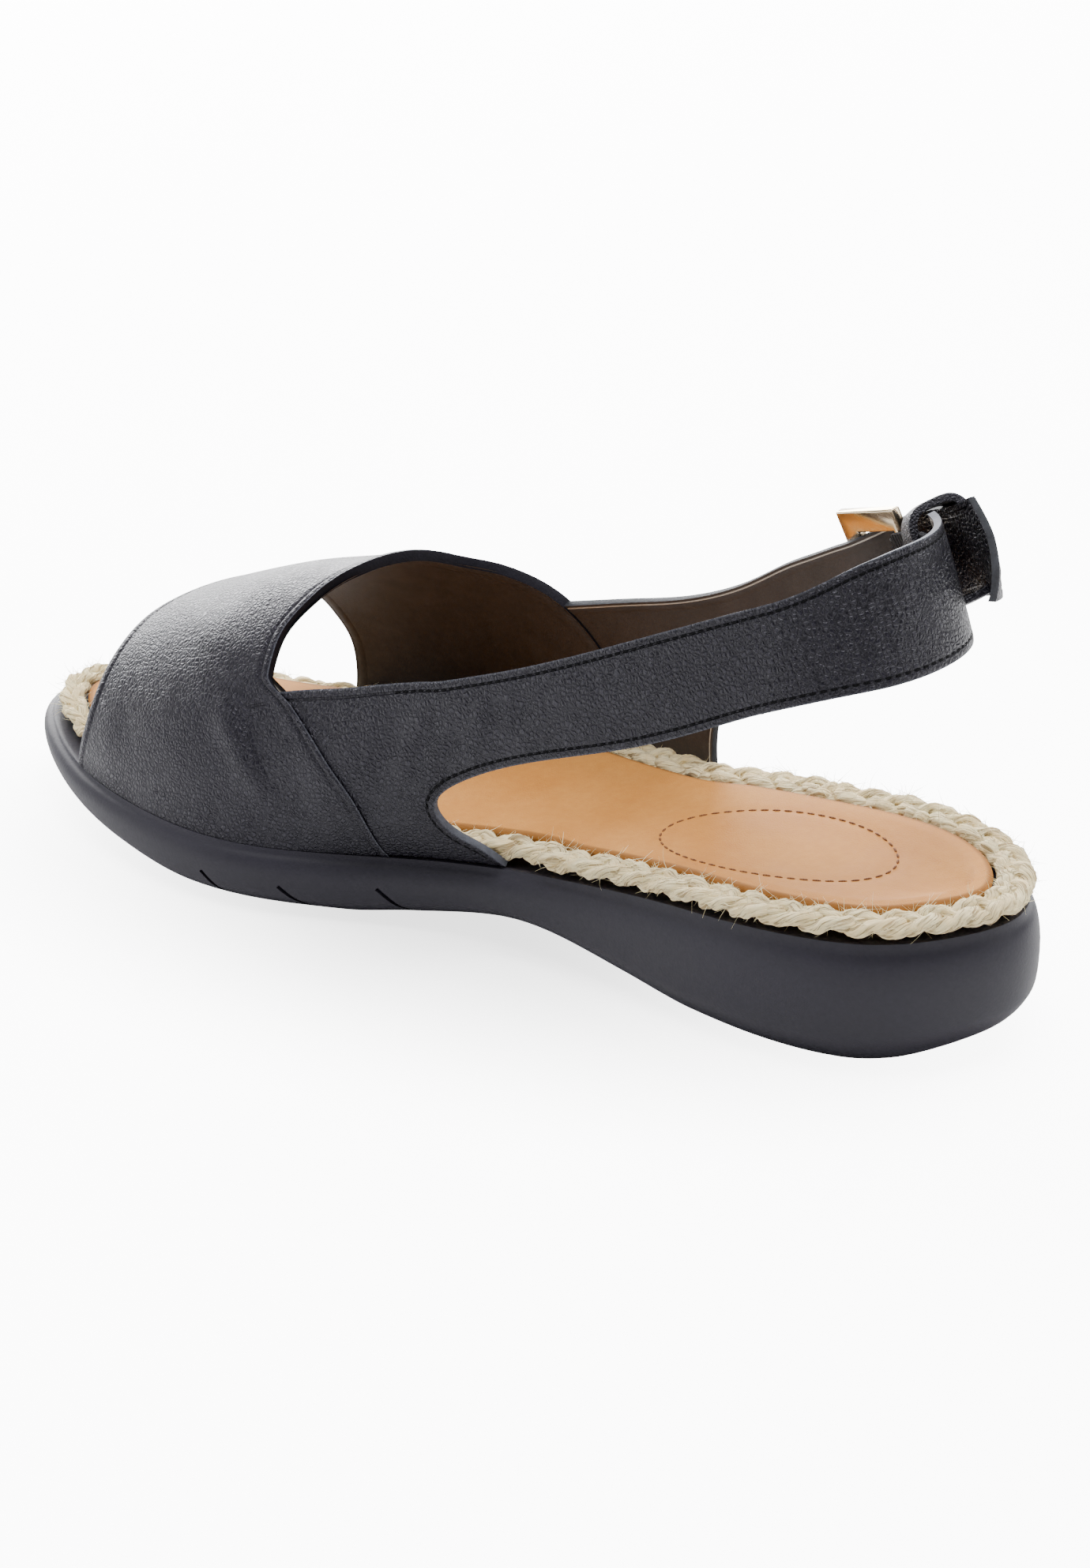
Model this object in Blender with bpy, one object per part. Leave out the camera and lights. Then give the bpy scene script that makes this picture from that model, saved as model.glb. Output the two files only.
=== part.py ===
"""A slingback sandal for the right foot, built as the pieces that a maker joins.

Units are metres, +Z is up, +X points to the toe and +Y to the wearer's left, the inner side of
a right foot. The origin is on the floor under the middle of the heel's rest.
"""

import math

import bpy
import bmesh
import numpy as np

# Sole
SOLE_LENGTH = 0.262
HEEL_REST_IN = 0.036
HEEL_WIDTH = 0.066
WAIST_WIDTH = 0.064
BALL_WIDTH = 0.092
TOE_WIDTH = 0.075
HEEL_HEIGHT = 0.032
TOE_SPRING = 0.012
SIDE_BULGE = 0.0026
TREAD_IN = 0.0085
NOTCH_WIDTH = 0.0012
NOTCH_DEPTH = 0.0045
NOTCH_HEIGHT = 0.0055
GROOVE_DEPTH = 0.0010
NOTCH_LEAN = 28.0

# Upper
VAMP_WALL = 0.0026
QUARTER_LIFT = 0.0006
QUARTER_WALL = 0.0017
CORNER_SLIM = 0.0002
RIM_SETBACK = 0.0002
INSTEP_HEIGHT = 0.080
STRAP_TOP_HEIGHT = 0.115
HEEL_LOOP_RADIUS = 0.0275
HEEL_LOOP_IN = 0.012
CLEARANCE = 0.0003

# Rope welt and footbed
ROPE_WIDTH = 0.0068
ROPE_SHIFT = 0.0020
ROPE_HEIGHT = 0.0046
STRAND_PITCH = 0.0086
STRAND_RELIEF = 0.00055
FOOTBED_THICKNESS = 0.0044
FOOTBED_ROUND = 0.0012
HEEL_CUP = 0.0016

# Buckle, keeper and elastic
FRAME_ALONG = 0.0195
FRAME_BAR = 0.0032
FRAME_THICKNESS = 0.0022
FRAME_PLAY = 0.0022
BAR_RADIUS = 0.0011
EDGE_ROUND = 0.28
PRONG_RADIUS = 0.0009
ELASTIC_WALL = 0.0012
ELASTIC_MARGIN = 0.0012
KEEPER_WIDTH = 0.0055
KEEPER_WALL = 0.0014
KEEPER_ABOVE = 0.0036
KEEPER_OUT = 0.0080
KEEPER_PLAY = 0.0030
KEEPER_SQUARE = 0.6
BUCKLE_STAND = 0.0039

# Mesh steps
OUTLINE_STEPS = 40
VAMP_ROUND_STEPS = 28
VAMP_LONG_STEPS = 12
BAND_STEPS = 5
LEG_STEPS = 8
STRAP_STEPS = 38
STRANDS_PER_STEP = 3
EYE_STEPS = 12
KEEPER_STEPS = 28
ELASTIC_STEPS = 10

# Outline of the rim: share of length, width it follows, inner share, outer share
OUTLINE = [
    (0.024, HEEL_WIDTH, 0.215, 0.255),
    (0.075, HEEL_WIDTH, 0.405, 0.415),
    (0.150, HEEL_WIDTH, 0.480, 0.500),
    (0.270, WAIST_WIDTH, 0.440, 0.560),
    (0.420, WAIST_WIDTH, 0.345, 0.670),
    (0.560, BALL_WIDTH, 0.300, 0.550),
    (0.700, BALL_WIDTH, 0.420, 0.555),
    (0.820, BALL_WIDTH, 0.380, 0.485),
    (0.930, TOE_WIDTH, 0.290, 0.390),
]
TIP_SIDE = -0.010

# Height of the rim: share of length, share of HEEL_HEIGHT
RIM_ROWS = [
    (0.00, 1.000), (0.12, 0.969), (0.25, 0.869), (0.40, 0.672), (0.50, 0.578),
    (0.60, 0.516), (0.75, 0.484), (0.88, 0.494), (1.00, 0.590),
]

# Height of the tread: share of length, share of TOE_SPRING
TREAD_ROWS = [
    (0.00, 0.290), (0.06, 0.040), (0.10, 0.0), (0.25, 0.0), (0.33, 0.165), (0.44, 0.460),
    (0.54, 0.165), (0.60, 0.0), (0.74, 0.0), (0.83, 0.210), (0.92, 0.580), (1.00, 1.000),
]

# Side of the sole: share of SIDE_BULGE outwards, share of TREAD_IN inwards, share of height
SIDE_ROWS = [
    (0.00, 1.00, 0.00),
    (0.00, 0.62, 0.02),
    (0.00, 0.16, 0.12),
    (0.55, 0.00, 0.26),
    (0.95, 0.00, 0.44),
    (1.00, 0.00, 0.60),
    (0.75, 0.00, 0.78),
    (0.25, 0.00, 0.90),
    (0.20, 0.00, 0.94),
    (0.00, 0.00, 1.00),
]

# Shares of length between which the upper stands on the rim, inner side and outer side
INNER_BARE = (0.450, 0.920)
OUTER_BARE = (0.370, 0.820)
BARE_RAMP = 0.060

# Slanted notches in the sole's sides: share of length
NOTCHES = [0.205, 0.530, 0.615, 0.690]

# Last, the form inside the upper: path along the foot as a share of SOLE_LENGTH (below zero it
# runs round the heel), ridge height as a share of INSTEP_HEIGHT, ridge side, inner wall and
# outer wall as shares of BALL_WIDTH
LAST_ROWS = [
    (-0.45, 2.400, 0.000, 0.294, 0.294),
    (-0.15, 2.200, 0.000, 0.298, 0.300),
    (0.00, 2.060, 0.000, 0.302, 0.317),
    (0.10, 1.940, 0.000, 0.317, 0.361),
    (0.24, 1.600, 0.000, 0.339, 0.444),
    (0.34, 1.200, 0.011, 0.356, 0.489),
    (0.44, 0.940, 0.033, 0.376, 0.520),
    (0.56, 0.800, 0.033, 0.378, 0.520),
    (0.66, 0.650, 0.000, 0.330, 0.485),
    (0.74, 0.517, -0.011, 0.240, 0.400),
    (0.82, 0.400, -0.011, 0.130, 0.260),
]
ROUNDNESS = 2.2
WALL_SETTLES = 0.45
LOOP_BLEND = 0.10

# Edges of the vamp from the inner rim over the foot to the outer rim: share of the way round,
# path of the front edge, path of the throat edge
VAMP_ROWS = [
    (0.00, 0.716, 0.378),
    (0.06, 0.709, 0.391),
    (0.12, 0.703, 0.421),
    (0.19, 0.699, 0.462),
    (0.24, 0.697, 0.496),
    (0.30, 0.694, 0.498),
    (0.40, 0.688, 0.484),
    (0.50, 0.674, 0.466),
    (0.60, 0.652, 0.452),
    (0.68, 0.634, 0.440),
    (0.75, 0.623, 0.408),
    (0.84, 0.619, 0.361),
    (0.92, 0.611, 0.320),
    (1.00, 0.606, 0.285),
]

# Inner quarter, then heel strap: path and height of the low edge, path and height of the high
# edge; heights are shares of STRAP_TOP_HEIGHT, and ON_RIM stands on the sole
ON_RIM = None
INNER_LEG = [
    (0.530, ON_RIM, 0.540, 0.395),
    (0.420, ON_RIM, 0.450, 0.470),
    (0.318, ON_RIM, 0.370, 0.530),
]
INNER_STRAP = [
    (0.318, ON_RIM, 0.370, 0.530),
    (0.316, 0.268, 0.355, 0.541),
    (0.314, 0.305, 0.336, 0.555),
    (0.308, 0.342, 0.318, 0.568),
    (0.292, 0.381, 0.296, 0.587),
    (0.237, 0.448, 0.237, 0.643),
    (0.120, 0.552, 0.120, 0.768),
    (0.040, 0.640, 0.040, 0.856),
    (-0.021, 0.709, -0.021, 0.921),
    (-0.070, 0.747, -0.070, 0.971),
    (-0.120, 0.761, -0.120, 0.997),
    (-0.172, 0.761, -0.178, 0.997),
    (-0.226, 0.743, -0.241, 0.984),
]

# The inner quarter's corner, which runs back along the rim: the same columns
INNER_CORNER = [
    (0.345, ON_RIM, 0.345, 0.330),
    (0.316, ON_RIM, 0.316, 0.286),
    (0.306, ON_RIM, 0.306, 0.262),
    (0.292, ON_RIM, 0.292, 0.247),
    (0.276, ON_RIM, 0.276, 0.240),
]

# Outer quarter, then the strap through the buckle to its free end: the same columns, and how far
# it stands off the last
OUTER_LEG = [
    (0.500, ON_RIM, 0.480, 0.400, 0.0),
    (0.380, ON_RIM, 0.390, 0.462, 0.0),
    (0.200, ON_RIM, 0.290, 0.533, 0.0),
]
OUTER_STRAP = [
    (0.200, ON_RIM, 0.290, 0.533, 0.0),
    (0.202, 0.290, 0.262, 0.553, 0.0),
    (0.184, 0.400, 0.222, 0.588, 0.0),
    (0.140, 0.470, 0.164, 0.659, 0.0),
    (0.095, 0.539, 0.116, 0.736, 0.0),
    (0.063, 0.590, 0.088, 0.775, 0.0),
    (0.034, 0.634, 0.064, 0.808, 0.0002),
    (0.014, 0.663, 0.048, 0.829, 0.0006),
    (-0.002, 0.686, 0.032, 0.851, 0.0026),
    (-0.018, 0.706, 0.016, 0.872, 0.0052),
    (-0.034, 0.728, 0.000, 0.893, 0.0068),
    (-0.050, 0.754, -0.015, 0.914, 0.0075),
    (-0.070, 0.786, -0.034, 0.938, 0.0076),
    (-0.094, 0.822, -0.054, 0.961, 0.0080),
    (-0.127, 0.868, -0.078, 0.988, 0.0100),
]
BUCKLE_AT = 0.011
BUCKLE_TILT = 8.0
BUCKLE_TURN = 10.0
KEEPER_AT = -0.052

# Elastic between the buckle and the heel strap: the same columns
ELASTIC_ROWS = [
    (-0.034, 0.746, -0.002, 0.885, 0.0006),
    (-0.054, 0.779, -0.026, 0.910, -0.0002),
    (-0.074, 0.806, -0.052, 0.930, -0.0009),
    (-0.096, 0.816, -0.082, 0.945, -0.0009),
    (-0.122, 0.818, -0.106, 0.950, -0.0009),
]


def spline(rows, closed=False):
    """A smooth cubic through the rows, by chord length: the curve and the rows' places on it."""
    p = np.asarray(rows, float)
    if closed:
        p = np.vstack([p, p[:1]])
    step = np.linalg.norm(np.diff(p, axis=0), axis=1)
    place = np.concatenate([[0.0], np.cumsum(step)])
    count = len(p) - 1 if closed else len(p)
    left, right = np.zeros((count, count)), np.zeros((count, p.shape[1]))
    for i in range(count):
        if not closed and i in (0, count - 1):
            a, b = (0, 1) if i == 0 else (count - 1, count - 2)
            left[i, a], left[i, b] = 2.0, 1.0
            right[i] = 3.0 * (p[b] - p[a]) / (step[0] if i == 0 else -step[-1])
            continue
        before, after = step[i - 1], step[i]
        left[i, (i - 1) % count] += after
        left[i, i] += 2.0 * (before + after)
        left[i, (i + 1) % count] += before
        rise = before * (p[i + 1] - p[i]) / after + after * (p[i] - p[(i - 1) % count]) / before
        right[i] = 3.0 * rise
    slope = np.linalg.solve(left, right)
    if closed:
        slope = np.vstack([slope, slope[:1]])

    def at(u):
        u = np.asarray(u, float)
        i = np.clip(np.searchsorted(place, u, side="right") - 1, 0, len(step) - 1)
        w = step[i][..., None]
        s = (u - place[i])[..., None] / w
        ends = p[i] * (1 + 2 * s) * (1 - s) ** 2 + p[i + 1] * s * s * (3 - 2 * s)
        return ends + w * s * (1 - s) ** 2 * slope[i] - w * s * s * (1 - s) * slope[i + 1]

    return at, place


def column(rows, index):
    """A smooth function of the rows' first column that never overshoots the rows."""
    x = np.array([row[0] for row in rows], float)
    y = np.array([row[index] for row in rows], float)
    h = np.diff(x)
    d = np.diff(y) / h
    m = np.zeros(len(x))
    m[0], m[-1] = d[0], d[-1]
    for i in range(1, len(x) - 1):
        if d[i - 1] * d[i] > 0:
            near, far = 2 * h[i] + h[i - 1], h[i] + 2 * h[i - 1]
            m[i] = (near + far) / (near / d[i - 1] + far / d[i])

    def at(q):
        q = np.clip(np.asarray(q, float), x[0], x[-1])
        i = np.clip(np.searchsorted(x, q, side="right") - 1, 0, len(h) - 1)
        s = (q - x[i]) / h[i]
        ends = y[i] * (1 + 2 * s) * (1 - s) ** 2 + y[i + 1] * s * s * (3 - 2 * s)
        return ends + h[i] * (s * (1 - s) ** 2 * m[i] - s * s * (1 - s) * m[i + 1])

    return at


def even(curve, start, end, steps):
    """Points at even arc lengths of a curve, without the last one."""
    u = np.linspace(start, end, 1500)
    q = curve(u)
    length = np.concatenate([[0.0], np.cumsum(np.linalg.norm(np.diff(q, axis=0), axis=1))])
    return curve(np.interp(np.linspace(0.0, length[-1], steps + 1), length, u))[:-1]


def rim_outline(steps):
    """The rim seen from above: heel end, inner side, toe tip, outer side back to the heel."""
    heel = -HEEL_REST_IN
    inner = [(heel + share * SOLE_LENGTH, width * side) for share, width, side, _ in OUTLINE]
    outer = [(heel + share * SOLE_LENGTH, -width * side) for share, width, _, side in OUTLINE]
    tip = (heel + SOLE_LENGTH, BALL_WIDTH * TIP_SIDE)
    curve, place = spline([(heel, 0.0)] + inner + [tip] + outer[::-1], closed=True)
    toe = len(OUTLINE) + 1
    halves = even(curve, place[0], place[toe], steps), even(curve, place[toe], place[-1], steps)
    return np.vstack(halves)


def outwards(outline):
    """Unit normals of a closed outline that runs clockwise seen from above."""
    along = np.roll(outline, -1, 0) - np.roll(outline, 1, 0)
    side = np.stack([-along[:, 1], along[:, 0]], 1)
    return side / np.linalg.norm(side, axis=1)[:, None]


rim_share = column(RIM_ROWS, 1)
tread_share = column(TREAD_ROWS, 1)
ridge_share = column(LAST_ROWS, 1)
ridge_side = column(LAST_ROWS, 2)
inner_wall = column(LAST_ROWS, 3)
outer_wall = column(LAST_ROWS, 4)


def along_sole(x):
    return (np.asarray(x, float) + HEEL_REST_IN) / SOLE_LENGTH


def rim_height(x):
    return HEEL_HEIGHT * rim_share(along_sole(x))


def tread_height(x):
    return TOE_SPRING * tread_share(along_sole(x))


FINE_RIM = rim_outline(300)
INNER_RIM = FINE_RIM[:301]
OUTER_RIM = np.vstack([FINE_RIM[300:], FINE_RIM[:1]])[::-1]


def rim_side(x, side):
    """How far the rim lies from the centre line on one side, 1 for inner and -1 for outer."""
    edge = INNER_RIM if side > 0 else OUTER_RIM
    return side * np.interp(x, edge[:, 0], edge[:, 1])


def smooth_step(share):
    share = min(max(share, 0.0), 1.0)
    return share * share * (3.0 - 2.0 * share)


def last_point(path, rise, side):
    """A point of the last: path along the foot, share of the ridge's height, side of the foot."""
    x = HEEL_LOOP_IN + path * SOLE_LENGTH
    low = float(rim_height(x))
    high = INSTEP_HEIGHT * float(ridge_share(path))
    rise = min(max(rise, 0.0), 1.0)
    narrowing = math.sqrt(max(1.0 - rise**ROUNDNESS, 0.0))
    wall = BALL_WIDTH * float((inner_wall if side > 0 else outer_wall)(path))
    loop = HEEL_LOOP_RADIUS / (BALL_WIDTH * LOOP_WALL)
    wall *= loop + (1.0 - loop) * smooth_step(path / LOOP_BLEND)
    z = low + rise * (high - low)
    if path <= 0.0:
        turn = -path * SOLE_LENGTH / HEEL_LOOP_RADIUS
        reach = wall * narrowing
        return (HEEL_LOOP_IN - reach * math.sin(turn), side * reach * math.cos(turn), z)
    middle = BALL_WIDTH * float(ridge_side(path))
    foot = float(rim_side(x, side)) - RIM_SETBACK - VAMP_WALL - side * middle
    settle = min(rise / WALL_SETTLES, 1.0)
    near = wall - side * middle
    width = foot + (near - foot) * (1.0 - (1.0 - settle) ** 2)
    return (x, middle + side * width * narrowing, z)


LOOP_WALL = LAST_ROWS[2][3]


def last_normal(path, rise, side):
    """The direction away from the foot at a point of the last."""
    nudge = 0.002 if rise < 0.5 else -0.002
    here = np.array(last_point(path, rise, side))
    ahead = np.array(last_point(path + 0.002, rise, side)) - here
    above = (np.array(last_point(path, rise + nudge, side)) - here) * math.copysign(1.0, nudge)
    normal = -side * np.cross(ahead, above)
    return normal / np.linalg.norm(normal)


def rise_of(path, height):
    x = HEEL_LOOP_IN + path * SOLE_LENGTH
    low = float(rim_height(x))
    return (height - low) / (INSTEP_HEIGHT * float(ridge_share(path)) - low)


def off_last(path, rise, side, stand):
    return np.array(last_point(path, rise, side)) + stand * last_normal(path, rise, side)


def over_foot(path, around, stand):
    """A point of the vamp: around runs from the inner rim (0) over the ridge to the outer (1)."""
    angle = math.pi * around
    rise = math.sin(min(angle, math.pi - angle)) ** (2.0 / ROUNDNESS)
    return off_last(path, rise, 1 if around <= 0.5 else -1, stand)


def new_object(name, vertices, faces, colour, roughness, metallic=0.0, smooth=40.0):
    """An object of one mesh, with its faces turned outwards and its own material."""
    shape = bmesh.new()
    corners = [shape.verts.new(tuple(map(float, v))) for v in vertices]
    for face in faces:
        shape.faces.new([corners[i] for i in face])
    bmesh.ops.remove_doubles(shape, verts=shape.verts, dist=0.000002)
    bmesh.ops.recalc_face_normals(shape, faces=shape.faces)
    mesh = bpy.data.meshes.new(name)
    shape.to_mesh(mesh)
    shape.free()
    mesh.shade_smooth()
    mesh.set_sharp_from_angle(angle=math.radians(smooth))
    thing = bpy.data.objects.new(name, mesh)
    bpy.context.scene.collection.objects.link(thing)
    material = bpy.data.materials.new(name + "_finish")
    material.use_nodes = True
    shader = material.node_tree.nodes["Principled BSDF"]
    shader.inputs["Base Color"].default_value = (*colour, 1.0)
    shader.inputs["Roughness"].default_value = roughness
    shader.inputs["Metallic"].default_value = metallic
    mesh.materials.append(material)
    return thing


def combine(thing, tool, operation):
    """A live exact Boolean with another object, which is hidden as a tool."""
    step = thing.modifiers.new(operation.lower() + "_" + tool.name, "BOOLEAN")
    step.solver = "EXACT"
    step.operation = operation
    step.object = tool
    tool.hide_render = True
    tool.display_type = "WIRE"


def grid_faces(rows, columns, start=0, flip=False):
    faces = []
    for i in range(rows - 1):
        for j in range(columns - 1):
            a = start + i * columns + j
            face = (a, a + 1, a + columns + 1, a + columns)
            faces.append(face[::-1] if flip else face)
    return faces


def shell(outer, inner):
    """A closed wall between two grids of points."""
    rows, columns = outer.shape[:2]
    half = rows * columns
    faces = grid_faces(rows, columns) + grid_faces(rows, columns, half, flip=True)
    edge = [(0, j) for j in range(columns)] + [(i, columns - 1) for i in range(1, rows)]
    edge += [(rows - 1, j) for j in range(columns - 2, -1, -1)] + [(i, 0) for i in range(rows - 2, 0, -1)]
    loop = [i * columns + j for i, j in edge]
    for a, b in zip(loop, loop[1:] + loop[:1]):
        faces.append((b, a, a + half, b + half))
    return np.vstack([outer.reshape(-1, 3), inner.reshape(-1, 3)]), faces


def tube(rings):
    """A closed loop of sections, each a ring of points."""
    rings = np.asarray(rings)
    count, around = rings.shape[:2]
    faces = []
    for i in range(count):
        for j in range(around):
            k, m = (i + 1) % count, (j + 1) % around
            faces.append((i * around + j, i * around + m, k * around + m, k * around + j))
    return rings.reshape(-1, 3), faces


def stack(rings, across_rows):
    """A solid from rings with a ladder of cross strips at its bottom and top.

    across_rows holds, for the bottom and the top, the heights added at even steps across.
    """
    around = len(rings[0])
    half = around // 2
    points = [tuple(p) for ring in rings for p in ring]
    faces = []
    for level in range(len(rings) - 1):
        a = level * around
        for j in range(around):
            k = (j + 1) % around
            faces.append((a + j, a + k, a + around + k, a + around + j))
    for level, sag in zip((0, len(rings) - 1), across_rows):
        base = level * around
        strips = []
        for i in range(half + 1):
            inner, outer = base + i, base + (around - i) % around
            strip = [inner]
            if inner != outer:
                for share, drop in sag:
                    start, end = np.array(points[inner]), np.array(points[outer])
                    point = start + (end - start) * share
                    point[2] += drop(point[0])
                    points.append(tuple(point))
                    strip.append(len(points) - 1)
                strip.append(outer)
            strips.append(strip)
        for one, two in zip(strips, strips[1:]):
            if len(one) == 1 or len(two) == 1:
                tip, row = (one[0], two) if len(one) == 1 else (two[0], one)
                faces += [(tip, a, b) for a, b in zip(row, row[1:])]
            else:
                faces += [(one[j], one[j + 1], two[j + 1], two[j]) for j in range(len(one) - 1)]
    return points, faces


def ring_at(outline, normal, offset, height):
    """A ring beside the outline at a height that depends on the place along the sole."""
    flat = outline + normal * offset
    return np.column_stack([flat, height(flat[:, 0])])


def make_outsole():
    outline = rim_outline(OUTLINE_STEPS)
    normal = outwards(outline)
    rim, tread = rim_height(outline[:, 0]), tread_height(outline[:, 0])
    rings = []
    for bulge, tuck, level in SIDE_ROWS:
        flat = outline + normal * (SIDE_BULGE * bulge - TREAD_IN * tuck)
        rings.append(np.column_stack([flat, tread + (rim - tread) * level]))
    points, faces = stack(rings, ([], []))
    sole = new_object("outsole", points, faces, (0.035, 0.037, 0.043), 0.62, smooth=50.0)
    for number, share in enumerate(NOTCHES):
        combine(sole, notch_tool(number, share), "DIFFERENCE")


def notch_tool(number, share):
    """Two slanted blades that nick the sole's sides, joined by a shallow groove in the tread."""
    x = share * SOLE_LENGTH - HEEL_REST_IN
    floor = float(tread_height(x))
    lean = math.tan(math.radians(NOTCH_LEAN))
    inner, outer = float(rim_side(x, 1)) + 0.02, -float(rim_side(x, -1)) - 0.02
    reach = TREAD_IN + NOTCH_DEPTH
    deep_in, deep_out = float(rim_side(x, 1)) - reach, -float(rim_side(x, -1)) + reach
    top, groove, below = floor + NOTCH_HEIGHT, floor + GROOVE_DEPTH, floor - 0.01
    profile = [(inner, below), (inner, top), (deep_in + NOTCH_DEPTH, top), (deep_in, groove),
               (deep_out, groove), (deep_out - NOTCH_DEPTH, top), (outer, top), (outer, below)]
    points = []
    for shift in (-NOTCH_WIDTH / 2, NOTCH_WIDTH / 2):
        points += [(x + shift + (z - floor) * lean, y, z) for y, z in profile]
    count = len(profile)
    faces = [tuple(range(count)), tuple(range(2 * count - 1, count - 1, -1))]
    for i in range(count):
        j = (i + 1) % count
        faces.append((j, i, i + count, j + count))
    return new_object("notch_" + str(number), points, faces, (0.5, 0.5, 0.5), 0.5)


ROPE_IN = RIM_SETBACK + VAMP_WALL + CLEARANCE
FOOTBED_IN = ROPE_IN + ROPE_WIDTH + CLEARANCE


def rope_outline(steps):
    """The line that rope and footbed follow: the rim, moved outwards where no upper stands."""
    outline = rim_outline(steps)
    normal = outwards(outline)
    moved = []
    for number, (point, side) in enumerate(zip(outline, normal)):
        share = float(along_sole(point[0]))
        start, end = (INNER_BARE if number <= steps else OUTER_BARE)
        bare = max(smooth_step((start - share) / BARE_RAMP), smooth_step((share - end) / BARE_RAMP))
        moved.append(point + side * ROPE_SHIFT * bare)
    return np.array(moved)


def make_rope_welt():
    """The braided rope as one ring whose strands are raised in a herringbone."""
    coarse = rope_outline(200)
    centre = coarse - outwards(coarse) * (ROPE_IN + ROPE_WIDTH / 2)
    curve, place = spline(centre, closed=True)
    strands = round(place[-1] / STRAND_PITCH)
    middle = even(curve, 0.0, place[-1], strands * STRANDS_PER_STEP)
    normal = outwards(middle)
    half, top = ROPE_WIDTH / 2 - STRAND_RELIEF, ROPE_HEIGHT - STRAND_RELIEF
    profile = [(-1.0, 0.10, 0.3), (-0.86, 0.62, 0.8), (-0.45, 0.96, 1.0), (0.0, 0.93, 0.0),
               (0.45, 0.96, 1.0), (0.86, 0.62, 0.8), (1.0, 0.10, 0.3), (0.80, 0.0, 0.0), (-0.80, 0.0, 0.0)]
    rings = []
    for number, (spot, side) in enumerate(zip(middle, normal)):
        turn = number / STRANDS_PER_STEP
        ring = []
        for across, up, relief in profile:
            phase = turn + 0.55 * abs(across) + (0.5 if across > 0 else 0.0)
            swell = STRAND_RELIEF * relief * math.cos(2 * math.pi * phase)
            flat = spot + side * (across * half + math.copysign(max(swell, -0.0004), across) * abs(across))
            base = float(rim_height(flat[0])) + CLEARANCE
            ring.append((flat[0], flat[1], base + up * top + (swell * up if up else 0.0)))
        rings.append(ring)
    points, faces = tube(rings)
    new_object("rope_welt", points, faces, (0.72, 0.62, 0.45), 0.95, smooth=75.0)


def cup(depth):
    """How far the footbed sinks below its edge near the heel."""
    def drop(x):
        share = float(along_sole(x))
        return -depth * HEEL_CUP * max(0.0, 1.0 - max(share - 0.16, 0.0) / 0.24) ** 1.5
    return drop


def make_footbed():
    outline = rope_outline(OUTLINE_STEPS)
    normal = outwards(outline)
    seat, high = (lambda x: rim_height(x) + CLEARANCE), (lambda x: rim_height(x) + CLEARANCE + FOOTBED_THICKNESS)
    rings = [
        ring_at(outline, normal, -FOOTBED_IN - FOOTBED_ROUND / 2, seat),
        ring_at(outline, normal, -FOOTBED_IN, lambda x: seat(x) + FOOTBED_ROUND / 2),
        ring_at(outline, normal, -FOOTBED_IN, lambda x: high(x) - FOOTBED_ROUND),
        ring_at(outline, normal, -FOOTBED_IN - FOOTBED_ROUND * 0.35, lambda x: high(x) - FOOTBED_ROUND * 0.3),
        ring_at(outline, normal, -FOOTBED_IN - FOOTBED_ROUND, high),
    ]
    sag = [(share, cup(depth)) for share, depth in ((0.14, 0.45), (0.32, 0.9), (0.5, 1.0), (0.68, 0.9), (0.86, 0.45))]
    points, faces = stack(rings, ([], sag))
    new_object("footbed", points, faces, (0.62, 0.36, 0.17), 0.55, smooth=50.0)


def band_rows(rows, steps):
    """Rows of a quarter or strap, in metres, at even steps along it."""
    table = []
    for row in rows:
        low = row[1] * STRAP_TOP_HEIGHT if row[1] is not ON_RIM else foot_height(row[0])
        stand = row[4] if len(row) > 4 else 0.0
        table.append((row[0] * SOLE_LENGTH, low, row[2] * SOLE_LENGTH, row[3] * STRAP_TOP_HEIGHT, stand))
    curve, place = spline(table)
    samples = curve(np.linspace(0.0, place[-1], steps + 1))
    if all(row[1] is ON_RIM for row in rows):
        samples[:, 1] = [foot_height(low / SOLE_LENGTH) for low in samples[:, 0]]
    samples[:, (0, 2)] /= SOLE_LENGTH
    return samples


def foot_height(path):
    """The height at which the upper's foot stands just off the sole."""
    return float(rim_height(HEEL_LOOP_IN + path * SOLE_LENGTH)) + CLEARANCE


def band_wall(samples, side, lift, steps=BAND_STEPS):
    """A grid of points between the low and the high edge of a band, a lift off the last."""
    grid = []
    for low_path, low, high_path, high, stand in samples:
        line = []
        for share in np.linspace(0.0, 1.0, steps + 1):
            path = low_path + (high_path - low_path) * share
            rise = rise_of(path, low + (high - low) * share)
            line.append(off_last(path, rise, side, lift + stand))
        grid.append(line)
    return np.array(grid)


def stand_on_sole(line):
    line[:, 2] = rim_height(line[:, 0]) + CLEARANCE


def band(name, leg, strap, side, slim=0.0):
    """A quarter that stands on the rim and may run on as a strap, as one wall."""
    samples = band_rows(leg, LEG_STEPS)
    if strap:
        samples = np.vstack([samples, band_rows(strap, STRAP_STEPS)[1:]])
    inner = band_wall(samples, side, QUARTER_LIFT + slim)
    outer = band_wall(samples, side, QUARTER_LIFT + QUARTER_WALL - slim)
    for wall in (inner, outer):
        stand_on_sole(wall[:LEG_STEPS + 1, 0])
    points, faces = shell(outer, inner)
    return new_object(name, points, faces, LEATHER, 0.5)


LEATHER = (0.03, 0.03, 0.035)
METAL = (0.85, 0.72, 0.48)
RUBBER_WEB = (0.02, 0.02, 0.022)


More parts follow.
